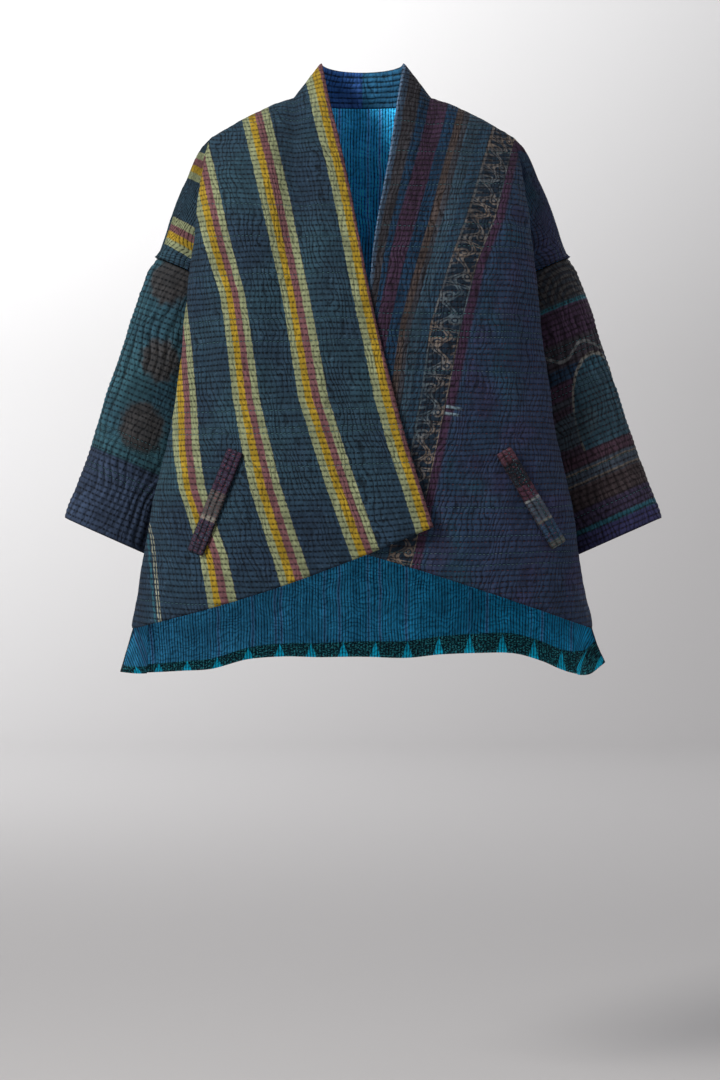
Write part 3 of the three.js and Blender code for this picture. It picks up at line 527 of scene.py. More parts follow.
def end_normals(ends, natural, share, facing):
    """Normals at the outer seam: the arm's along the overarm seam and round the armhole, the natural ones
    under the arm, and straight outwards down the side."""
    angle = mix(SEAM_ANGLE, facing * 180.0, clamp((share - ARMHOLE_FROM) / (ARMHOLE_TO - ARMHOLE_FROM)))
    on_tube = arm_normal(ends[:, 2], angle)
    on_tube[:, 1] *= np.where(share < ARMHOLE_FROM, smooth(share / 0.05), 1)
    n = mix(on_tube, natural, smooth((np.abs(angle) - 80) / 25)[:, None])
    return unit(mix(n, np.array([1.0, 0, 0]), smooth((share - ARMHOLE_TO) / 0.03)[:, None]))


def seam_normals(middle, normal, share, facing, first):
    """Turns the normals at the shoulder seam square to the top line, and those at the outer seam outwards."""
    down, across = lengths(middle, 0), lengths(middle, 1)
    run = np.gradient(middle[0], axis=0)
    top = unit(stack(-run[:, 2], np.zeros(len(run)), run[:, 0]))
    near = (1 - smooth(down / 12)) * smooth((middle[0, :, 0] - first) / 3)[None]
    normal = unit(mix(normal, top[None], near[..., None]))
    side = end_normals(middle[:, -1], normal[:, -1], share, facing)
    near = 1 - smooth((across[:, -1:] - across) / 12)
    return unit(mix(normal, side[:, None], near[..., None]))


def ridges(band, across=0.0, seed=0.0):
    """Rise of the outside between two lines of stitching, in uneven puffs along the band."""
    puffs = 1 + 0.75 * uneven(across / 4.2, band / 1.3, 61 + seed)
    return 0.85 * np.abs(np.sin(np.pi * band)) ** 0.7 * puffs


def hems(proud, deep, edge):
    """Thins the wall at a free edge: edge is the distance from it in millimetres."""
    thin = mix(0.45, 1.0, np.sqrt(clamp(edge / 4.5)))
    return proud * thin, deep * thin


def sewn_in(off):
    """How far the outer face dips at a seam, as a bell curve of the distance from it."""
    return 0.9 * np.exp(-(off / 1.6) ** 2)


def make_front(name, tab, motif, materials):
    """A front: its creases and unevenness lift its middle surface, which becomes a wall with puffs."""
    front = FRONTS[name]
    side = front["side"]
    surface = lambda rows: front_surface(front, rows, CHEST_CELLS, FOLD_CELLS)
    rows = stitched_rows(surface, FRONT_ROWS)
    middle = surface(rows)
    share = row_share(rows, FRONT_ROWS)
    normal = seam_normals(middle, -normals_of(middle), share, 1, 0)
    across, down = lengths(middle, 1), lengths(middle, 0)
    x, z = middle[..., 0], middle[..., 2]
    # The lines of stitching run level across the chest, and are equally far apart down the cloth
    chest = int(np.argmin(np.abs(z[:, 30] + 330)))
    band = (down - down[chest] - z[chest] + 1.5 * uneven(across / 70, down / 60, 11 + side)) / BAND
    # The crossed parts of the fronts stay apart, and seams keep their line
    other = column(LEFT_EDGE if side < 0 else RIGHT_EDGE, "z", "x")(z)
    free = smooth((x + other - 4) / 40) if side > 0 else 1 - 0.8 * (1 - smooth((x + other + 8) / 30))
    quiet = smooth(down / 18) * smooth((across[:, -1:] - across) / 16)
    lift = creases(x, z, tab) * free * quiet
    lift += quiet * free * 1.5 * uneven(across / 62 + side, down / 84, 3 + side)
    fine = 0.6 * uneven(across / 13, band / 2.3, 7 + side) + 0.5 * uneven(across / 7, band / 5, 9)
    lift += quiet * fine * mix(0.4, 1, free)
    middle = middle + normal * lift[..., None]
    edge = np.minimum(across, down[-1:] - down)
    puffs = 0.55 + 0.35 * uneven(across / 5.5, band, 61 + side)
    proud, deep = hems(CLOTH / 2 + puffs * mix(0.6, 1, free), CLOTH / 2 + 0 * across, edge)
    proud = proud - sewn_in(across[:, -1:] - across)
    flip = np.array([side, 1.0, 1.0])
    layers = {"cloth": stack(across, band, down), "pattern": motif(middle, across, down, share)}
    return cloth_wall(name + "_cloth", middle * flip, normal * flip, proud, deep, layers, materials)


STRIPE_LINES = table(  # where the middles of the stripe groups run, by height, on the right front's own side
    "z p0 p1 p2 p3 p4",
    (48, 61, 160, 255, 348, 443), (32, 56.5, 156, 251, 344, 439), (-27, 45.4, 144, 234.7, 328, 423),
    (-72, 34.5, 134, 223, 316, 408), (-97, 28, 127.9, 216, 308, 400),
    (-137.7, 19, 118.8, 206.8, 297, 388), (-205, 6.6, 104.3, 190.9, 281, 372),
    (-272.7, -5.9, 89.9, 171, 250, 345),
    (-340, -21, 78.1, 161, 241.9, 330), (-411.8, -36.1, 65.6, 152.5, 235.6, 322),
    (-475, -53.1, 44.6, 138.5, 233.6, 318),
    (-527.9, -70.9, 26.9, 126.6, 227, 300), (-592.6, -89.5, 3.2, 106, 206, 279),
    (-617, -96.4, -5.9, 97.8, 197, 276),
    (-677.7, -115, -26, 78, 185.8, 270), (-716, -126, -38, 65, 177, 266))
LANE_LINES = table(  # the edges of the lanes on the left front: maroon, brown, border, outer strip
    "z p1 p2 p3 p4",
    (48, 112, 152, 212, 232), (-32.4, 97.9, 133.7, 196, 214), (-101, 79, 116.5, 174.8, 197.8),
    (-170, 57, 99.2, 152.6, 181.6),
    (-233.6, 40.4, 79.9, 128.9, 155.3), (-313, 24.6, 57, 102.6, 137), (-398, 7.4, 46.6, 89.8, 119.5),
    (-463, -6, 34, 79.6, 104.6), (-528, -20, 23.6, 65.5, 91.1), (-623.7, -42, 4, 44, 70.9),
    (-716, -64, -16, 22, 50))


def between_lines(x, z, tab, first, spacing):
    """A number that grows by one from each line of a table to the next, at a place x, z."""
    order = np.argsort(tab["z"])
    lines = [np.interp(z, tab["z"][order], tab[key][order]) for key in list(tab)[1:]]
    p = first + (x - lines[0]) / spacing
    for k, (a, b) in enumerate(zip(lines[:-1], lines[1:])):
        p = np.where(x > a, first + k + (x - a) / np.maximum(b - a, 1), p)
    return np.where(x > lines[-1], first + len(lines) - 1 + (x - lines[-1]) / spacing, p)


def make_right_motif(middle, across, down, share):
    """The stripes run down the chest; past the fold they go on round it, and on the dropped shoulder they
    lie crosswise over the arm."""
    x, z = middle[..., 0], middle[..., 2]
    p = between_lines(x, z, STRIPE_LINES, 0, 98)
    fold = slice(CHEST_CELLS, CHEST_CELLS + 1)
    past = across - across[:, fold]
    p = np.where(past > 0, p[:, fold] + past / 97, p)
    over_arm = 2 + (-z + 0.6 * (x - 246) - 78) / 108
    turned = smooth((past / np.maximum(past[:, -1:], 1) - 0.12) / 0.2) * smooth((0.43 - share[:, None]) / 0.03)
    return stack(np.where(turned > 0.5, over_arm, p), down, turned)


def make_left_motif(middle, across, down, share):
    """The lanes run down beside the free edge, and past the fold they go on round it."""
    x, z = middle[..., 0], middle[..., 2]
    edge = column(LEFT_EDGE, "z", "x")(z)
    maroon = np.interp(z, LANE_LINES["z"][::-1], LANE_LINES["p1"][::-1])
    p = between_lines(x, z, LANE_LINES, 1, 96)
    p = np.where(x < maroon, clamp((x - edge) / np.maximum(maroon - edge, 1)), p)
    fold = slice(CHEST_CELLS, CHEST_CELLS + 1)
    past = across - across[:, fold]
    p = np.where(past > 0, p[:, fold] + past / 96, p)
    return stack(p, down, np.broadcast_to(share[:, None], p.shape))


def make_back(materials):
    """The back, from its two halves joined at centre back, with ribs from hem to neck."""
    halves = []
    for side in (-1, 1):
        surface = lambda rows: back_half(side, rows, BACK_CELLS, BACK_FOLD_CELLS)
        if side < 0:
            rows = stitched_rows(surface, BACK_ROWS)
            rows = np.interp(np.linspace(0, 1, BACK_ROW_COUNT), np.linspace(0, 1, len(rows)), rows)
        middle = surface(rows)
        share = row_share(np.minimum(rows, FRONT_ROWS), FRONT_ROWS)
        normal = seam_normals(middle, normals_of(middle), share, -1, NECK_HALF - 3)
        normal[:, 0, 0] = 0
        halves.append((middle * [side, 1, 1], unit(normal) * [side, 1, 1]))
    join = lambda k: np.concatenate([halves[0][k][:, ::-1], halves[1][k][:, 1:]], axis=1)
    middle, normal = join(0), unit(join(1))
    across, down = lengths(middle, 1), lengths(middle, 0)
    ends = np.minimum(across, across[:, -1:] - across)
    across = across - across[:, middle.shape[1] // 2][:, None]
    x, z = middle[..., 0], middle[..., 2]
    above_hem = down[-1:] - down
    seam = np.minimum(ends, np.where(z < FRONT_HEM_SIDE_Z, 40, ends))
    quiet = smooth(down / 18) * smooth(ends / 18)
    inward = np.where(z < FRONT_HEM_SIDE_Z + 6, 1, smooth((ends - 14) / 30))
    lift = quiet * inward * (creases(x, z, BACK_CREASES) + 1.6 * uneven(across / 70, down / 95, 21))
    lift += quiet * 0.5 * uneven(across / 9, down / 26, 23)
    middle = middle + normal * lift[..., None]
    ribs = across / 4.1 + 0.3 * uneven(across / 40, down / 24, 27)
    edge = np.where(z < FRONT_HEM_SIDE_Z, np.minimum(above_hem, ends), above_hem)
    proud, deep = hems(CLOTH / 2 + 0.5 * uneven(across / 2.7, down / 60, 5) ** 2, CLOTH / 2 + 0 * ribs, edge)
    proud = proud - np.where(z > FRONT_HEM_SIDE_Z, sewn_in(ends), 0)
    layers = {"cloth": stack(down, ribs, across), "pattern": stack(across, above_hem, seam)}
    return cloth_wall("back_cloth", middle, normal, proud, deep, layers, materials)


SLEEVE_BANDS, SLEEVE_CELLS = 49, 220
PUCKER, PUCKER_RISE = 11.5, {-1: 1.9, 1: 1.2}  # from one pucker to the next, and their rise on each sleeve


def make_sleeve(side, materials):
    """Rings of a sleeve; its creases are placed across and down from the outermost line."""
    name = ("right" if side < 0 else "left") + "_sleeve_cloth"
    down = np.linspace(0, 1, 2 * SLEEVE_BANDS + 1)
    turn = np.linspace(0, 1, SLEEVE_CELLS + 1)
    whole, normal_whole = sleeve_surface(down, turn)
    across, along = lengths(whole, 1), lengths(whole, 0)
    outermost = np.stack([np.interp(0.5, turn, row) for row in across])
    across = across - outermost[:, None]
    middle, normal = whole[:, :-1], normal_whole[:, :-1]
    a, l = across[:, :-1], along[:, :-1]
    band = np.broadcast_to(np.arange(len(down))[:, None] / 2, across.shape)
    quiet = smooth(l / 16)
    ring = np.sin(np.pi * turn[:-1])[None]
    lift = quiet * (creases(-a, l, SLEEVE_CREASES, 0.0 if side < 0 else 6.0) * ring ** 0.5)
    lift += quiet * 1.6 * ring * uneven(a / 48, l / 72, 31 + side)
    lift += quiet * 0.55 * ring * uneven(a / 12, band[:, :-1] / 2.1, 33 + side)
    middle = middle + normal * lift[..., None]
    waver = 1.1 * uneven(across / 60, along / 45, 35 + side)
    puckers = 2 * np.abs(np.sin(np.pi * (across / PUCKER + waver))) ** 0.75 - 1
    fade = np.sin(np.pi * turn)[None] * smooth(0.6 + 0.8 * uneven(across / 70, along / 60, 37))
    puckers = puckers * fade * smooth(along / 16) * smooth((along[-1:] - along) / 14)
    puffed = ridges(band[:, :-1], a, side) * 0.8 + PUCKER_RISE[side] * puckers[:, :-1]
    proud, deep = hems(CLOTH / 2 + puffed, CLOTH / 2 + 0 * a, l[-1:] - l)
    proud = proud - sewn_in(l)
    outer_z = mix(ARMHOLE_OUTER_Z, CUFF_OUTER_Z, down)[:, None]
    flip = np.array([side, 1.0, 1.0])
    layers = {"cloth": stack(across, band, along), "pattern": stack(-across, -outer_z + 0 * across, puckers)}
    return cloth_wall(name, middle * flip, normal * flip, proud, deep, layers, materials, closed=True)


def make_collar(side, materials):
    """Half a collar: a band bent round the neck, leaning in towards its top edge."""
    bands = 7
    up = np.linspace(0, 1, 4 * bands + 1)[:, None]
    turn = np.linspace(0, math.pi / 2, 61)[None]
    foot = COLLAR_FOOT - 3.2 + 3.4 * np.sin(turn) ** 4  # tucked behind the back's neckline, where the seam is
    grid = lambda u: stack(
        mix(NECK_HALF, COLLAR_TOP_HALF, u) * np.sin(turn),
        SHOULDER_Y + SEAM / 2 + mix(NECK_BACK, COLLAR_TOP_BACK, u) * np.cos(turn),
        mix(foot, COLLAR_HEIGHT - COLLAR_SINK * np.cos(turn), u))
    middle = grid(up)
    normal = -normals_of(middle)
    near_mid, near_end = np.exp(-turn * 30)[..., None], np.exp((turn - math.pi / 2) * 30)[..., None]
    normal = unit(normal * (1 - near_mid * [1, 0, 0] - near_end * [0, 1, 0]))
    across, rise = lengths(middle, 1), lengths(middle, 0)
    band = np.broadcast_to(up * bands, across.shape)
    calm = smooth(across / 8) * smooth((across[:, -1:] - across) / 8) * smooth(rise / 6)
    lift = calm * (1.0 * uneven(across / 26, rise / 20, 41 + side) + 0.4 * uneven(across / 8, band, 43 + side))
    middle = middle + normal * lift[..., None]
    bead = 0.5 * np.abs(np.sin(np.pi * band)) ** 0.7
    proud, deep = hems(CLOTH / 2 + bead, CLOTH / 2 + bead, rise[-1:] - rise)
    flip = np.array([side, 1.0, 1.0])
    layers = {"cloth": stack(across, band, rise), "pattern": stack(across, rise, across)}
    name = ("right" if side < 0 else "left") + "_collar_cloth"
    return cloth_wall(name, middle * flip, normal * flip, proud, deep, layers, materials)


def make_welt(name, material):
    """A folded strip over the pocket's mouth: a soft-cornered section carried along its line on the front."""
    side, top, bottom = WELTS[name]
    long, around = 78, 44
    t = np.linspace(0, 1, long + 1)[:, None]
    turn = np.linspace(0, 2 * math.pi, around + 1)[None, :-1]
    power = lambda v, k: np.sign(v) * np.abs(v) ** k
    w, out = power(np.cos(turn), 0.55) / 2, (power(np.sin(turn), 0.6) + 1) / 2
    run = np.array([bottom[0] - top[0], bottom[1] - top[1]], float)
    length = np.hypot(*run)
    cross = np.array([-run[1], run[0]]) / length * WELT_WIDTH
    soft = np.sqrt(clamp(np.minimum(t, 1 - t) * length / 3.0))
    w = w * mix(0.9, 1, soft)
    place_x = top[0] + run[0] * t + cross[0] * w
    place_z = top[1] + run[1] * t + cross[1] * w
    slope_x = (front_y(place_x + 1, place_z) - front_y(place_x - 1, place_z)) / 2
    slope_z = (front_y(place_x, place_z + 1) - front_y(place_x, place_z - 1)) / 2
    normal = unit(stack(slope_x, -1.0, slope_z))
    foot = CLOTH / 2 + 1.2
    band = (w + 0.5) * 3
    rise = (0.5 + WELT_HEIGHT * out * mix(0.45, 1, soft) * (1 + 0.1 * uneven(t * 14, w * 2, 51 + side)))
    rise = rise + 0.35 * ridges(band) * out
    points = stack(place_x, front_y(place_x, place_z), place_z) + normal * (foot + rise)[..., None]
    around_mm = np.broadcast_to(np.linspace(0, 1, around + 1)[None] * 54, (long + 1, around + 1))
    wrap = lambda g: np.concatenate([g, g[:, :1]], axis=1)
    layers = {"cloth": stack(t * length + 0 * around_mm, wrap(band + 0 * t), around_mm),
              "pattern": stack(t * length + 0 * around_mm, wrap(w + 0 * t), around_mm)}
    return rounded_bar(name + "_cloth", points * [side, 1, 1], layers, [material])


# Materials
def linear(red, green, blue):
    """A colour measured on a screen, from 0 to 255, as light."""
    light = lambda v: ((v / 255 + 0.055) / 1.055) ** 2.4 if v > 10 else v / 255 / 12.92
    return light(red), light(green), light(blue), 1.0


def arithmetic(operation, turned=False):
    return lambda a, b: a.loom.math(operation, *((b, a) if turned else (a, b)))


class Signal:
    """What a node puts out. Plain arithmetic on it makes the math nodes."""
    __add__, __radd__ = arithmetic("ADD"), arithmetic("ADD", True)
    __sub__, __rsub__ = arithmetic("SUBTRACT"), arithmetic("SUBTRACT", True)
    __mul__, __rmul__ = arithmetic("MULTIPLY"), arithmetic("MULTIPLY", True)
    __truediv__ = arithmetic("DIVIDE")
    __abs__ = lambda self: self.loom.math("ABSOLUTE", self)

    def __init__(self, loom, socket):
        self.loom, self.socket = loom, socket


class Loom:
    """Lays out nodes in one tree, in rows of eight."""

    def __init__(self, tree):
        self.tree, self.count = tree, 0

    def node(self, kind, inputs=(), **settings):
        made = self.tree.nodes.new(kind)
        made.location = (self.count % 8 * 190 - 1600, 300 - self.count // 8 * 240)
        self.count += 1
        for key, value in settings.items():
            setattr(made, key, value)
        for key, value in (inputs.items() if isinstance(inputs, dict) else enumerate(inputs)):
            self.put(made.inputs[key], value)
        return made

    def put(self, socket, value):
        if isinstance(value, Signal):
            self.tree.links.new(value.socket, socket)
        elif value is not None:
            socket.default_value = value

    def signals(self, node):
        return {socket.name: Signal(self, socket) for socket in node.outputs}

    def signal(self, kind, inputs=(), out=0, **settings):
        return Signal(self, self.node(kind, inputs, **settings).outputs[out])

    def math(self, operation, *values):
        return self.signal("ShaderNodeMath", values, operation=operation)

    def fract(self, value):
        return self.math("FRACT", value)

    def sine(self, value):
        return self.math("SINE", value)

    def root(self, value):
        return self.math("SQRT", value)

    def floor(self, value):
        return self.math("FLOOR", value)

    def nearest(self, value):
        return self.math("ROUND", value)

    def least(self, a, b):
        return self.math("MINIMUM", a, b)

    def most(self, *values):
        """The greatest of two or more values."""
        first, *rest = values
        for value in rest:
            first = self.math("MAXIMUM", first, value)
        return first

    def far(self, x, y):
        """Distance from the middle of a plane."""
        return self.root(x * x + y * y)

    def step(self, value, low, high, start=0.0, end=1.0):
        """start below low and end above high, with a smooth change between."""
        return self.signal("ShaderNodeMapRange", (value, low, high, start, end), interpolation_type="SMOOTHSTEP")

    def below(self, value, low, high):
        """1 below low and 0 above high."""
        return self.step(value, low, high, 1.0, 0.0)

    def near(self, value, low, high):
        """1 within low of zero and 0 beyond high, on both sides."""
        return self.below(abs(value), low, high)

    def vector(self, attribute):
        return self.signal("ShaderNodeAttribute", out="Vector", attribute_name=attribute)

    def place(self):
        return self.signal("ShaderNodeTexCoord", out="Object")

    def chance(self, whole):
        """A random number from 0 to 1 for each whole one."""
        return self.signal("ShaderNodeTexWhiteNoise", {"W": whole}, "Value", noise_dimensions="1D")

    def parts(self, vector):
        return list(self.signals(self.node("ShaderNodeSeparateXYZ", (vector,))).values())

    def join(self, x=0.0, y=0.0, z=0.0):
        return self.signal("ShaderNodeCombineXYZ", (x, y, z))

    def noise(self, vector, scale, detail=2.0, roughness=0.5):
        inputs = {"Vector": vector, "Scale": scale, "Detail": detail, "Roughness": roughness}
        return self.signal("ShaderNodeTexNoise", inputs, "Fac")

    def wobble(self, vector, scale, detail, by):
        """Noise round zero, from -by / 2 to by / 2."""
        return (self.noise(vector, scale, detail) - 0.5) * by

    def blend(self, share, a, b):
        made = self.node("ShaderNodeMix", data_type="RGBA")
        for index, value in ((0, share), (6, a), (7, b)):
            self.put(made.inputs[index], value)
        return Signal(self, made.outputs[2])

    def laid(self, colour, *marks):
        """A colour with marks laid over it in turn, each its share and its ink."""
        for share, ink in marks:
            colour = self.blend(share, colour, ink)
        return colour

    def scaled(self, colour, by):
        return self.signal("ShaderNodeVectorMath", {0: colour, "Scale": by}, operation="SCALE")

    def bands(self, value, edges, soft):
        """Bands of colour: edges are (start, colour) from 0 to 1, each change as wide as soft."""
        stops = [(0.0, edges[0][1])]
        for (_, before), (at, after) in zip(edges[:-1], edges[1:]):
            stops += [(max(0.0, at - soft / 2), before), (min(1.0, at + soft / 2), after)]
        made = self.node("ShaderNodeValToRGB", (value,))
        bar = made.color_ramp.elements
        for k, (at, _) in enumerate(stops):
            stop = bar[k] if k < 2 else bar.new(1.0)
            stop.position = at
        for k, (at, colour) in enumerate(stops):
            bar[k].position, bar[k].color = at, colour
        return Signal(self, made.outputs[0])


def group(name, vector, numbers, outputs):
    """An empty node group with its sockets: a vector and numbers with their values in, and numbers out."""
    tree = bpy.data.node_groups.new(name, "ShaderNodeTree")
    tree.interface.new_socket(vector, in_out="INPUT", socket_type="NodeSocketVector")
    for label, value in numbers.items():
        socket = tree.interface.new_socket(label, in_out="INPUT", socket_type="NodeSocketFloat")
        socket.default_value = value
    for label in outputs.split():
        tree.interface.new_socket(label, in_out="OUTPUT", socket_type="NodeSocketFloat")
    loom = Loom(tree)
    return loom, loom.signals(loom.node("NodeGroupInput")), loom.node("NodeGroupOutput").inputs


def stitching_group():
    """Lines of running stitch at whole bands: domed cloth between them, gathered crosswise where the thread
    pulls it in. Cloth is millimetres along the lines, bands across them, millimetres across them."""
    m, given, out = group("running stitch", "Cloth", {"Stitch": 5.6, "Gather": 8.0, "Seed": 0.0},
                          "Height Groove Thread Gathers Hole Chance")
    along, band, _ = m.parts(given["Cloth"])
    seed = given["Seed"]
    drawn = lambda x, y, z, *detail: m.noise(m.join(along * x, y, z), 1.0, *detail)
    band = band + (drawn(0.022, band * 0.3, seed) - 0.5) * 0.5
    away = abs(band - m.nearest(band))
    dome = m.root(m.most(m.sine(away * math.pi), 0.0))
    line = m.nearest(band) + seed * 17.0
    chance = m.chance(line)
    place = along / given["Stitch"] + (chance * 9.0 + drawn(0.05, line, 0.0) * 1.6)
    dash = m.near(m.fract(place) - 0.5, 0.22, 0.3)
    drift, broken = drawn(0.03, band * 0.11, seed, 1.0), drawn(0.1, band * 0.36, seed, 1.0)
    swell = abs(m.sine((along / given["Gather"] + (drift * 5.0 + broken * 1.6)) * math.pi))
    strength = m.step(drawn(0.02, band * 0.14, seed), 0.34, 0.62, 0.3, 1.0)
    groove = m.below(away, 0.03, 0.24)
    lumps = drawn(0.11, band * 0.55, seed + 4.0, 3.0, 0.6)
    height = dome * 0.45 + m.root(swell) * strength * 0.45 - dash * groove * 0.3
    height = height + m.noise(given["Cloth"], 0.45, 3.0) * 0.16 + lumps * 1.1
    faint = m.step(drawn(0.09, line * 0.7, 0.0, 1.0), 0.35, 0.6, 0.25, 1.0)
    made = {"Height": height, "Groove": groove * faint, "Thread": dash * m.below(away, 0.035, 0.07),
            "Gathers": m.below(swell, 0.04, 0.6) * strength, "Hole": m.below(away, 0.08, 0.22) * dash * faint,
            "Chance": chance}
    for label, value in made.items():
        m.put(out[label], value)
    return m.tree


def weave_group():
    """A plain weave: threads that pass over and under each other by turns."""
    m, given, out = group("plain weave", "Cloth", {"Pitch": 0.7}, "Height")
    x, _, z = m.parts(given["Cloth"])
    x, z = x / given["Pitch"], z / given["Pitch"]
    turn = m.step(m.fract((m.floor(x) + m.floor(z)) * 0.5), 0.2, 0.3)
    m.put(out["Height"], abs(m.sine(x * math.pi)) * turn + abs(m.sine(z * math.pi)) * (1.0 - turn))
    return m.tree


def dye_group():
    """Uneven overdyeing: broad clouds, small blotches and worn specks, each from 0 to 1."""
    m, given, out = group("uneven dye", "Place", {"Seed": 0.0}, "Clouds Blotches Worn")
    moved = m.signal("ShaderNodeVectorMath", (given["Place"], m.join(given["Seed"], 0.0, given["Seed"])))
    m.put(out["Clouds"], m.step(m.noise(moved, 9.0, 3.0), 0.3, 0.7))
    m.put(out["Blotches"], m.step(m.noise(moved, 60.0, 4.0, 0.6), 0.3, 0.72))
    m.put(out["Worn"], m.step(m.noise(moved, 240.0, 3.0, 0.6), 0.6, 0.72))
    return m.tree


STITCHING, WEAVE, DYE = stitching_group(), weave_group(), dye_group()


class ClothLoom(Loom):
    """Lays out a cloth's material, with the cloth's own coordinates, its pattern's and the object's, and what
    the stitching, the dye and the weave put out there."""

    def __init__(self, tree, seed, waves):
        super().__init__(tree)
        self.cloth, self.mark, self.spot = self.vector("cloth"), self.vector("pattern"), self.place()
        self.sewn = self.effect(STITCHING, Cloth=self.cloth, Stitch=5.6, Gather=waves, Seed=seed)
        self.dye = self.effect(DYE, Place=self.spot, Seed=seed * 3.7)
        self.weave = self.effect(WEAVE, Cloth=self.cloth)["Height"]

    def effect(self, tree, **given):
        return self.signals(self.node("ShaderNodeGroup", given, node_tree=tree))

    def bump(self, strength, distance, height, below=None):
        inputs = {"Strength": strength, "Distance": distance, "Height": height, "Normal": below}
        return self.signal("ShaderNodeBump", inputs)


def cloth_material(name, pattern, seed, thread, groove=0.2, gather_shade=0.55, waves=6.6):
    """Washed cotton: a pattern's colour, uneven dye, painted shade in the stitching's grooves, gathers and holes,
    painted highlight on the puffs, and a sewn surface.
    """
    material = bpy.data.materials.new(name)
    material.use_nodes = True
    shader = material.node_tree.nodes["Principled BSDF"]
    m = ClothLoom(material.node_tree, seed, waves)
    # A pattern may add where its own inks lie, where the painted shade of the stitching is weaker
    colour = pattern(m)
    colour, calm = colour if isinstance(colour, tuple) else (colour, 0.0)
    stitch_shade_share = 1.0 - calm * 0.7
    dye_tone_and_shade = 0.74 + m.dye["Clouds"] * 0.22 + m.dye["Blotches"] * 0.3
    # Painted shade: darker along the grooves of the stitching and in the furrows of the gathers
    dye_tone_and_shade = dye_tone_and_shade * (1.0 - m.sewn["Groove"] * stitch_shade_share * groove) * (1.0 - m.sewn["Gathers"] * stitch_shade_share * gather_shade)
    # Painted highlight on the tops of the puffs and painted shade in their low places
    dye_tone_and_shade = dye_tone_and_shade * m.step(m.sewn["Height"], 0.75, 1.7, 0.78, 1.32) * (0.93 + m.weave * 0.12)
    # Painted shade in the dimples at the stitch holes
    colour = m.scaled(colour, dye_tone_and_shade * (1.0 - m.sewn["Hole"] * (stitch_shade_share + 0.25) * 0.5))
    thread = m.blend(m.step(m.sewn["Chance"], 0.8, 0.82), thread, PALE_THREAD)
    m.put(shader.inputs["Base Color"], m.blend(m.sewn["Thread"] * 0.42, colour, thread))
    m.put(shader.inputs["Roughness"], 0.84 + m.dye["Blotches"] * 0.1)
    m.put(shader.inputs["Normal"], m.bump(1.0, 0.0024, m.sewn["Height"], m.bump(0.5, 0.00012, m.weave)))
    shader.inputs["Sheen Weight"].default_value = 0.02
    shader.inputs["Sheen Roughness"].default_value = 0.6
    shader.inputs["Specular IOR Level"].default_value = 0.08
    return material


DARK_THREAD, BLUE_THREAD, RED_THREAD = linear(26, 36, 48), linear(46, 92, 118), linear(70, 52, 60)
PALE_THREAD = linear(92, 138, 148)
NAVY, DEEP_NAVY, PURPLE_NAVY = linear(34, 50, 66), linear(36, 52, 74), linear(42, 50, 76)
TEAL_NAVY, TEAL, PALE_LINE = linear(36, 58, 69), linear(38, 92, 104), linear(150, 150, 128)
SAGE, MUSTARD, MAUVE = linear(118, 124, 94), linear(138, 114, 34), linear(98, 66, 69)
BROWN, MAROON, BLUE, GREY_TEAL = linear(43, 42, 46), linear(49, 35, 51), linear(22, 44, 65), linear(42, 60, 73)

# The repeat of the stripes, from the middle of one group to the next
GROUP_INKS = [(0.0, MAUVE), (0.295, SAGE), (0.4, MAUVE), (0.5, MUSTARD), (0.605, SAGE), (0.705, SAGE)]
HEM_LINES = 4.0  # where a pair of fine lines runs, counted in groups


def striped(m):
    """Navy with groups of stripes, sage, mauve, mustard and sage, whose edges waver with the stitching."""
    p, down, _ = m.parts(m.mark)
    p = p + m.wobble(m.cloth, 0.16, 2.0, 0.03)
    q = m.fract(p + 0.5)
    ground = m.laid(m.blend(m.dye["Clouds"], NAVY, TEAL_NAVY),
                    (m.step(down, 480, 640, 0.0, 0.55), linear(30, 44, 62)),
                    (m.dye["Worn"] * 0.35, linear(70, 90, 104)))
    inside = m.step(q, 0.288, 0.3) * m.below(q, 0.7, 0.712) * m.below(p, 3.4, 3.45)
    off = abs(p - HEM_LINES)
    pale = m.step(off, 0.006, 0.012) * m.below(off, 0.024, 0.03)
    colour = m.laid(ground, (inside, m.bands(q, GROUP_INKS, 0.012)), (pale * 0.6, PALE_LINE),
                    (m.near(p - HEM_LINES - 0.07, 0.012, 0.02) * 0.5, TEAL))
    return colour, inside


# The lanes of the left front: where each starts, as the edges in LANE_LINES count them, and its ink
LANES = [(0.0, linear(80, 102, 126)), (0.05, linear(44, 58, 74)), (0.18, BROWN), (0.505, BLUE), (0.76, MAROON),
         (1.34, BLUE), (1.755, linear(60, 52, 50)), (2.0, linear(48, 50, 56)), (2.145, GREY_TEAL),
         (2.42, linear(34, 54, 70)), (2.685, linear(24, 36, 48)), (3.8, linear(54, 38, 56)),
         (4.06, DEEP_NAVY)]
BORDER_MIDDLE, BORDER_HALF, BORDER_REPEAT = 3.2425, 0.5575, 62


def border_figure(m, p, down):
    """The printed border: a plain wave with a thinner twin, a ring round a dot in each bend, two lines
    across between repeats, and slanting hatching inside an edge line on either side."""
    u, v = (p - BORDER_MIDDLE) / BORDER_HALF, down / BORDER_REPEAT
    bend = m.sine(v * (4 * math.pi)) * 0.42
    half = m.fract(v * 2.0) - 0.5
    ring_x = u + (m.floor(m.fract(v) + 0.5) * 0.9 - 0.45)
    far = m.root(ring_x * ring_x + half * half * 4.4)
    line = abs(m.fract(v + 0.02) - 0.5)
    hatch = m.near(m.fract(v * 6.0 + u * 0.9) - 0.5, 0.12, 0.22) * m.near(abs(u) - 0.74, 0.13, 0.19)
    figure = m.most(m.near(u - bend, 0.08, 0.15), m.near(far - 0.36, 0.06, 0.13), m.below(far, 0.1, 0.18),
                    m.step(line, 0.012, 0.02) * m.below(line, 0.034, 0.042), m.near(abs(u) - 0.92, 0.03, 0.07),
                    m.near(u - bend + 0.3, 0.05, 0.12), hatch * 0.6)
    return figure * m.near(u, 0.97, 1.0)


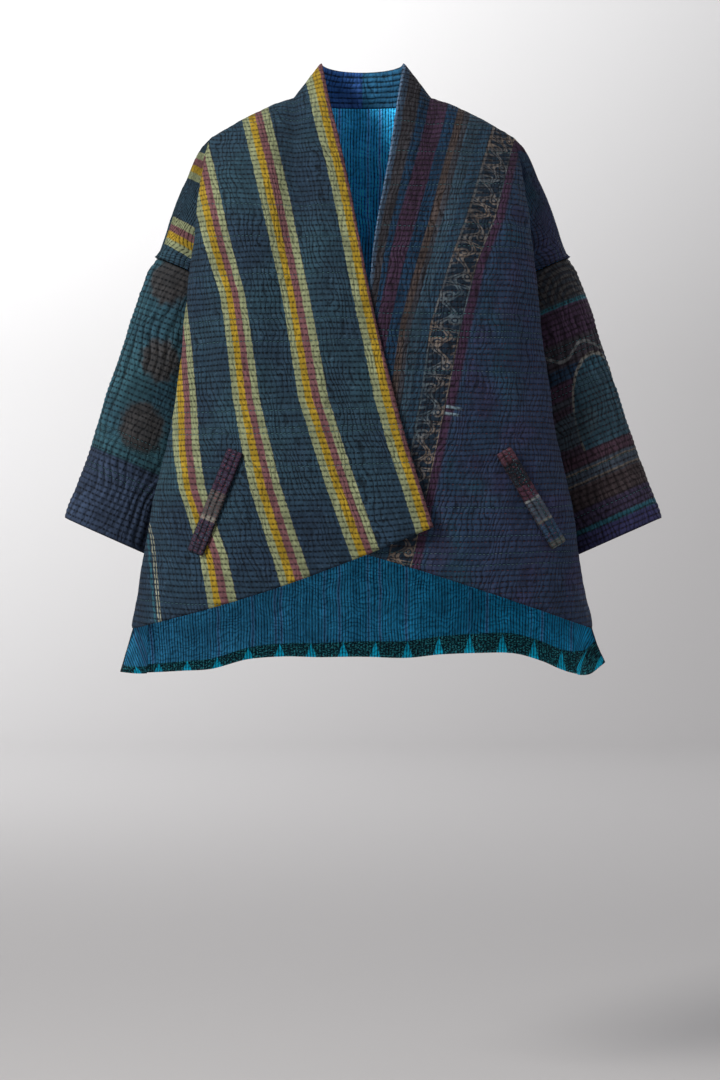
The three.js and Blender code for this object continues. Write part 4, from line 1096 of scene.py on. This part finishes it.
def laned(m):
    """Lanes of dull maroon, brown, blue and teal beside the printed border, then an outer strip with two
    pale lines across it, and navy with clouds of teal and purple and small dots of red thread."""
    p, down, _ = m.parts(m.mark)
    p = p + m.wobble(m.cloth, 0.16, 2.0, 0.035)
    # Lengthwise streaks soften the edges of the lanes
    streak = m.noise(m.join(p * 22.0, down * 0.012, 0.0), 1.0, 3.0, 0.6) - 0.5
    inks = [(at / 5, ink) for at, ink in LANES]
    beyond = m.step(p, 2.6, 2.66)
    lanes = m.blend(beyond, m.bands((p + streak * 0.16) * 0.2, inks, 0.006), m.bands(p * 0.2, inks, 0.006))
    strength = m.step(p, 3.9, 4.1, 1.0, 0.25) * (1.0 - beyond)
    patchy = m.step(m.noise(m.cloth, 0.1, 3.0, 0.6), 0.36, 0.62, 0.35, 1.0)
    faded = m.blend(m.step(m.noise(m.spot, 7.0, 2.0), 0.42, 0.58), linear(76, 90, 98), linear(112, 98, 86))
    tick = m.below(m.least(abs(down - 441.0), abs(down - 450.0)), 1.2, 2.6)
    tick = tick * m.step(p, 3.78, 3.84) * m.below(p, 4.1, 4.2)
    field = m.step(p, 4.1, 4.16)
    purple = m.step(p, 4.6, 5.1) * m.step(m.dye["Clouds"], 0.1, 0.9, 0.35, 0.9)
    dots = field * m.step(m.sewn["Thread"], 0.3, 0.8) * m.step(m.noise(m.cloth, 0.3, 1.0), 0.5, 0.56)
    return m.laid(m.scaled(lanes, 1.0 + streak * 2.4 * strength),
                  (border_figure(m, p, down) * patchy * 0.8, faded), (tick * 0.75, linear(112, 132, 142)),
                  (field * m.step(m.dye["Clouds"], 0.45, 0.95, 0.0, 0.7), linear(28, 54, 68)),
                  (field * m.step(m.noise(m.spot, 14.0, 2.0), 0.5, 0.66, 0.0, 0.6), linear(46, 44, 70)),
                  (purple * 0.5, linear(44, 42, 70)), (dots * 0.9, linear(120, 62, 66)),
                  (m.dye["Worn"] * 0.22, linear(76, 84, 96)))


def plain(first, second):
    """Two close tones of one dye, with worn specks."""
    def pattern(m):
        return m.laid(m.blend(m.dye["Clouds"], first, second), (m.dye["Worn"] * 0.25, linear(70, 84, 100)))
    return pattern


BACK_PANELS = [(0.0, TEAL_NAVY), (0.17, DEEP_NAVY), (0.3, NAVY), (0.385, MAROON), (0.4, NAVY), (0.56, TEAL_NAVY),
               (0.66, DEEP_NAVY), (0.74, BROWN), (0.755, NAVY), (0.88, PURPLE_NAVY)]


def panelled(m):
    """The outside of the back: broad lengthwise panels of close navy tones."""
    wide = m.parts(m.mark)[0] / 700 + 0.5 + m.wobble(m.cloth, 0.1, 2.0, 0.008)
    return m.laid(m.bands(wide, BACK_PANELS, 0.003), (m.dye["Worn"] * 0.25, linear(72, 90, 104)))


def blue_inside(m):
    """The inside of the back: blue with ribs from hem to neck, with painted light that makes it brighter towards
    the neck, and a dark dotted band with bright triangles along the hem."""
    across, above, _ = m.parts(m.mark)
    chance = m.chance(m.nearest(m.parts(m.cloth)[1]))
    ground = m.laid(m.blend(m.step(across, -260, 240), linear(62, 158, 208), linear(28, 150, 202)),
                    (m.step(chance, 0.86, 0.9, 0.0, 0.35), linear(110, 112, 170)),
                    (m.step(chance, 0.1, 0.3, 0.25, 0.0), linear(8, 60, 100)))
    # Painted light: up to 2.4 times brighter above the hem towards the neck, standing in for light that the
    # hollow's shade keeps out
    ground = m.scaled(ground, m.step(above, 430, 640, 1.0, 2.4))
    high = 22.0 + across * 0.032
    band = m.below(above - high, -0.8, 0.8)
    weave = m.noise(m.join(across * 0.34, above * 0.5, 0.0), 1.0, 1.0)
    cell = m.fract(across / 45 + 0.1) - 0.5
    inside = m.below(abs(cell) - (1.0 - above / (high * 0.98)) * 0.175, -0.015, 0.015)
    return m.laid(ground, (m.step(m.dye["Clouds"], 0.2, 0.9) * 0.35, linear(10, 52, 78)),
                  (band, m.blend(m.step(weave, 0.45, 0.62), linear(9, 38, 50), linear(48, 136, 146))),
                  (inside * band * 0.95, linear(16, 186, 226)))


# Middles of the discs, across from the outermost line (the front is negative) and down, and their radii
DISCS = ((-56, 231, 31), (-78, 332, 26), (-82, 420, 31), (56, 262, 28), (84, 360, 26), (40, 436, 24))
CUFF_FROM = 468.0


def spotted(m):
    """The right sleeve: teal with soft brown-grey discs down it and a purple-navy cuff, with painted shade in the
    puckers' valleys and painted highlight on their ridges.
    """
    across, down, puckers = m.parts(m.mark)
    colour = m.blend(m.dye["Clouds"], linear(43, 74, 84), linear(32, 56, 68))
    blur = m.wobble(m.cloth, 0.09, 3.0, 20.0)
    for x, y, radius in DISCS:
        off = m.far(across - x, down - y) + blur
        colour = m.laid(colour, (m.step(off, radius - 5, radius + 6, 0.9, 0.0), linear(49, 46, 46)),
                        (m.step(abs(off - 0.5 * radius), 1.5, 5.0, 0.3, 0.0), linear(62, 60, 60)))
    colour = m.laid(colour, (m.step(down, CUFF_FROM - 2, CUFF_FROM + 2), linear(43, 54, 73)),
                    (m.near(down - CUFF_FROM, 0.6, 2.0) * 0.55, linear(16, 24, 34)))
    # Painted shade in the valleys of the puckers and painted highlight on their ridges
    return m.scaled(colour, m.step(puckers, -0.7, 0.6, 0.3, 1.3))


# The left sleeve's bands: where each starts, in millimetres below the origin, and its ink
SLEEVE_FROM, SLEEVE_LONG = 213, 353
CROSS_BANDS = [(213, linear(36, 40, 46)), (262, TEAL), (266, linear(54, 40, 56)), (308, linear(46, 42, 48)),
               (340, linear(30, 46, 64)), (356, linear(54, 40, 54)), (378, linear(54, 56, 64)),
               (388, linear(52, 42, 52)), (450, linear(60, 44, 54)), (466, linear(54, 62, 72)),
               (488, linear(54, 46, 48)), (516, linear(48, 42, 60)), (538, linear(34, 72, 84)),
               (545, linear(44, 44, 74))]


def banded(m):
    """The left sleeve: crosswise bands of maroon, brown and blue with dull arcs, waves and a leaf shape of
    plain curves between them, with painted shade in the puckers' valleys and painted highlight on their ridges."""
    across, down, puckers = m.parts(m.mark)
    wavy = down + m.wobble(m.cloth, 0.12, 2.0, 3.0)
    bands = m.bands((wavy - SLEEVE_FROM) / SLEEVE_LONG,
                    [((at - SLEEVE_FROM) / SLEEVE_LONG, ink) for at, ink in CROSS_BANDS], 0.006)
    # Arcs round points spaced across the uppermost patch, and a wave below it
    far = m.far((m.fract(across / 78) - 0.5) * 78.0, wavy - 266.0)
    arcs = m.near(m.fract(far / 9.5) - 0.5, 0.16, 0.3) * m.below(wavy, 258, 261)
    wave = m.near(wavy + m.sine(across * (2 * math.pi / 64)) * 8.0 - 325.0, 1.2, 3.2)
    # A low dome with an outline, spread over the outer side of the arm
    dome, low = m.far((across + 40.0) / 50, (wavy - 428.0) / 92), m.below(wavy, 448, 450)
    # Leaves with a midrib
    lx = (m.fract((across + 30.0) / 132) - 0.5) * 132.0
    ly = wavy - 418.0 + lx * 0.12
    leaf = m.below(abs(ly) - m.root(m.most(1.0 - lx * lx / 1600, 0.0)) * 21.0, -2.0, 1.5)
    fine = abs(wavy - 478.0)
    lines = m.step(fine, 5.0, 6.0) * m.below(fine, 8.0, 9.0)
    colour = m.laid(bands, (arcs * 0.55, linear(66, 62, 60)), (wave * 0.7, linear(96, 98, 98)),
                    (m.below(dome, 0.98, 1.03) * low * 0.85, linear(40, 66, 78)),
                    (m.near(dome - 1.0, 0.015, 0.04) * low * 0.7, linear(108, 104, 96)),
                    (leaf * 0.7, linear(52, 68, 76)), (leaf * m.near(ly, 1.0, 2.6) * 0.6, linear(33, 40, 48)),
                    (lines * 0.7, linear(96, 86, 76)))
    # Painted shade in the valleys of the puckers and painted highlight on their ridges
    colour = m.scaled(colour, m.step(puckers, -0.7, 0.6, 0.45, 1.2))
    return m.laid(colour, (m.dye["Worn"] * 0.2, linear(76, 82, 92)))


WELT_LONG = 160
RIGHT_WELT_INKS = [(0, linear(46, 36, 52)), (58, linear(70, 66, 66)), (92, linear(112, 108, 100)),
                   (98, linear(44, 38, 52))]
LEFT_WELT_INKS = [(0, linear(72, 46, 56)), (18, linear(26, 30, 38)), (52, linear(66, 42, 56)),
                  (72, linear(120, 124, 124)), (75, linear(66, 76, 88)), (104, linear(112, 110, 104)),
                  (107, linear(38, 58, 80)), (134, linear(74, 80, 78))]


def pieced(inks):
    """A welt: short lengths of several cloths end to end, with red and blue specks."""
    def pattern(m):
        along = m.parts(m.mark)[0] + m.wobble(m.cloth, 0.3, 2.0, 2.0)
        lengthwise = m.bands(along / WELT_LONG, [(at / WELT_LONG, ink) for at, ink in inks], 0.012)
        speck = m.noise(m.cloth, 0.7, 1.0)
        return m.laid(lengthwise, (m.step(speck, 0.62, 0.68, 0.0, 0.7), linear(112, 58, 60)),
                      (m.step(speck, 0.3, 0.36, 0.6, 0.0), linear(58, 96, 108)),
                      (m.dye["Worn"] * 0.25, linear(84, 84, 92)))
    return pattern


purple_blue = plain(linear(62, 98, 164), linear(42, 82, 140))
teal_blue = plain(linear(44, 98, 134), linear(30, 76, 108))
striped_quilt = cloth_material("striped quilt", striped, 1.0, DARK_THREAD)
laned_quilt = cloth_material("laned quilt", laned, 2.0, RED_THREAD)
navy_quilt = cloth_material("navy quilt", panelled, 3.0, DARK_THREAD)
blue_ribbed_side = cloth_material("blue ribbed side", blue_inside, 4.0, BLUE_THREAD, groove=0.84, gather_shade=0.3,
                                  waves=7.0)
purple_side = cloth_material("purple blue side", purple_blue, 5.0, BLUE_THREAD, groove=0.78)
teal_side = cloth_material("teal blue side", teal_blue, 6.0, BLUE_THREAD, groove=0.78)
spotted_quilt = cloth_material("spotted quilt", spotted, 7.0, DARK_THREAD, groove=0.12, gather_shade=0.3, waves=11.5)
banded_quilt = cloth_material("banded quilt", banded, 8.0, RED_THREAD)
right_welt_cloth = cloth_material("right welt cloth", pieced(RIGHT_WELT_INKS), 9.0, DARK_THREAD, groove=0.4)
left_welt_cloth = cloth_material("left welt cloth", pieced(LEFT_WELT_INKS), 10.0, RED_THREAD, groove=0.4)

# The pieces, each in place of its solid
made = {
    "right_front": make_front("right_front", RIGHT_FRONT_CREASES, make_right_motif, [striped_quilt, purple_side]),
    "left_front": make_front("left_front", LEFT_FRONT_CREASES, make_left_motif, [laned_quilt, teal_side]),
    "back": make_back([navy_quilt, blue_ribbed_side]),
    "right_sleeve": make_sleeve(-1, [spotted_quilt, teal_side]),
    "left_sleeve": make_sleeve(1, [banded_quilt, teal_side]),
    "right_collar": make_collar(-1, [navy_quilt, purple_side]),
    "left_collar": make_collar(1, [navy_quilt, teal_side]),
    "right_welt": make_welt("right_welt", right_welt_cloth),
    "left_welt": make_welt("left_welt", left_welt_cloth),
}
# Each solid is hidden, and its piece hangs from the root
for node, piece in made.items():
    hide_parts(node)
    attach(piece, "root")

# The room: a pale floor that rises behind in one quarter circle, and soft light from the upper left
FLOOR_Z, FLOOR_FROM, FLOOR_HALF, SWEEP_Y, SWEEP_R, WALL_TOP = -1.40, -9.0, 13.0, 6.6, 1.6, 6.5
turn = np.linspace(0, math.pi / 2, 25)
curve = np.stack([SWEEP_Y + SWEEP_R * np.sin(turn), FLOOR_Z + SWEEP_R * (1 - np.cos(turn))], axis=1)
profile = np.concatenate([[(FLOOR_FROM, FLOOR_Z)], curve, [(SWEEP_Y + SWEEP_R, WALL_TOP)]])
sweep = stack(np.array([[-FLOOR_HALF, FLOOR_HALF]]), profile[:, :1], profile[:, 1:])
mesh = bpy.data.meshes.new("floor")
number = np.arange(2 * len(profile)).reshape(-1, 2)
mesh.from_pydata(sweep.reshape(-1, 3).tolist(), [], quads(number)[:, ::-1].tolist())
mesh.polygons.foreach_set("use_smooth", np.ones(len(mesh.polygons), bool))
paper = bpy.data.materials.new("pale paper")
paper.use_nodes = True
m = Loom(paper.node_tree)
shader = paper.node_tree.nodes["Principled BSDF"]
x, y, z = m.parts(m.place())
# Painted light: pale at the upper left and grey towards the bottom and the right, as light from the upper left
# falls
pale = m.blend(m.step(y * 0.16 + z - x * 0.5, -1.0, 4.2), (0.46, 0.45, 0.45, 1), (0.93, 0.93, 0.93, 1))
m.put(shader.inputs["Base Color"], m.blend(m.noise(m.place(), 0.8) * 0.05, pale, (0.6, 0.59, 0.58, 1)))
shader.inputs["Roughness"].default_value = 0.9
mesh.materials.append(paper)
floor = bpy.data.objects.new("floor", mesh)
bpy.context.collection.objects.link(floor)
floor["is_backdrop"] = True

world = bpy.data.worlds.new("room")
world.use_nodes = True
world.node_tree.nodes["Background"].inputs["Color"].default_value = (0.95, 0.95, 1.0, 1)
world.node_tree.nodes["Background"].inputs["Strength"].default_value = 0.34
bpy.context.scene.world = world


def soft_light(name, place, aim, size, power, colour, spread=math.pi):
    """A square lamp at a place, turned towards a point."""
    lamp = bpy.data.lights.new(name, "AREA")
    lamp.size, lamp.energy, lamp.color, lamp.spread = size, power, colour, spread
    lamp_object = bpy.data.objects.new(name, lamp)
    away = np.array(place) - np.array(aim)
    lamp_object.location = place
    lamp_object.rotation_euler = (math.acos(away[2] / np.linalg.norm(away)), 0, math.atan2(away[0], -away[1]))
    bpy.context.collection.objects.link(lamp_object)


soft_light("window", (-3.0, -2.6, 1.9), (0, 0, -0.35), 1.2, 225, (1.0, 0.98, 0.95))
soft_light("fill", (2.8, -2.6, 0.2), (0, 0, -0.4), 2.4, 13, (0.93, 0.96, 1.0))
soft_light("rear", (2.2, 3.4, 1.5), (0, 0, -0.35), 1.6, 4.6, (1.0, 0.99, 0.97), 0.75)
soft_light("side", (3.8, 0.6, 0.6), (0.3, 0, -0.4), 1.6, 2.6, (1.0, 1.0, 1.0), 0.75)
soft_light("backdrop", (-2.5, 3.6, 3.6), (-0.9, 8.2, 1.0), 2.6, 275, (1.0, 1.0, 1.0))

lens = bpy.data.cameras.new("photograph")
lens.sensor_width = 36
lens.lens = 86.4
camera = bpy.data.objects.new("photograph", lens)
camera.location = (-0.0034, -3.5, -0.5967)
camera.rotation_euler = (math.pi / 2, 0, 0)
bpy.context.collection.objects.link(camera)
bpy.context.scene.camera = camera
bpy.context.scene.view_settings.view_transform = "Standard"

plain_box = lambda box: [[float(v) for v in corner] for corner in box]
{"cad_box": plain_box(CAD_BOX), "visual_box": plain_box(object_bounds())}
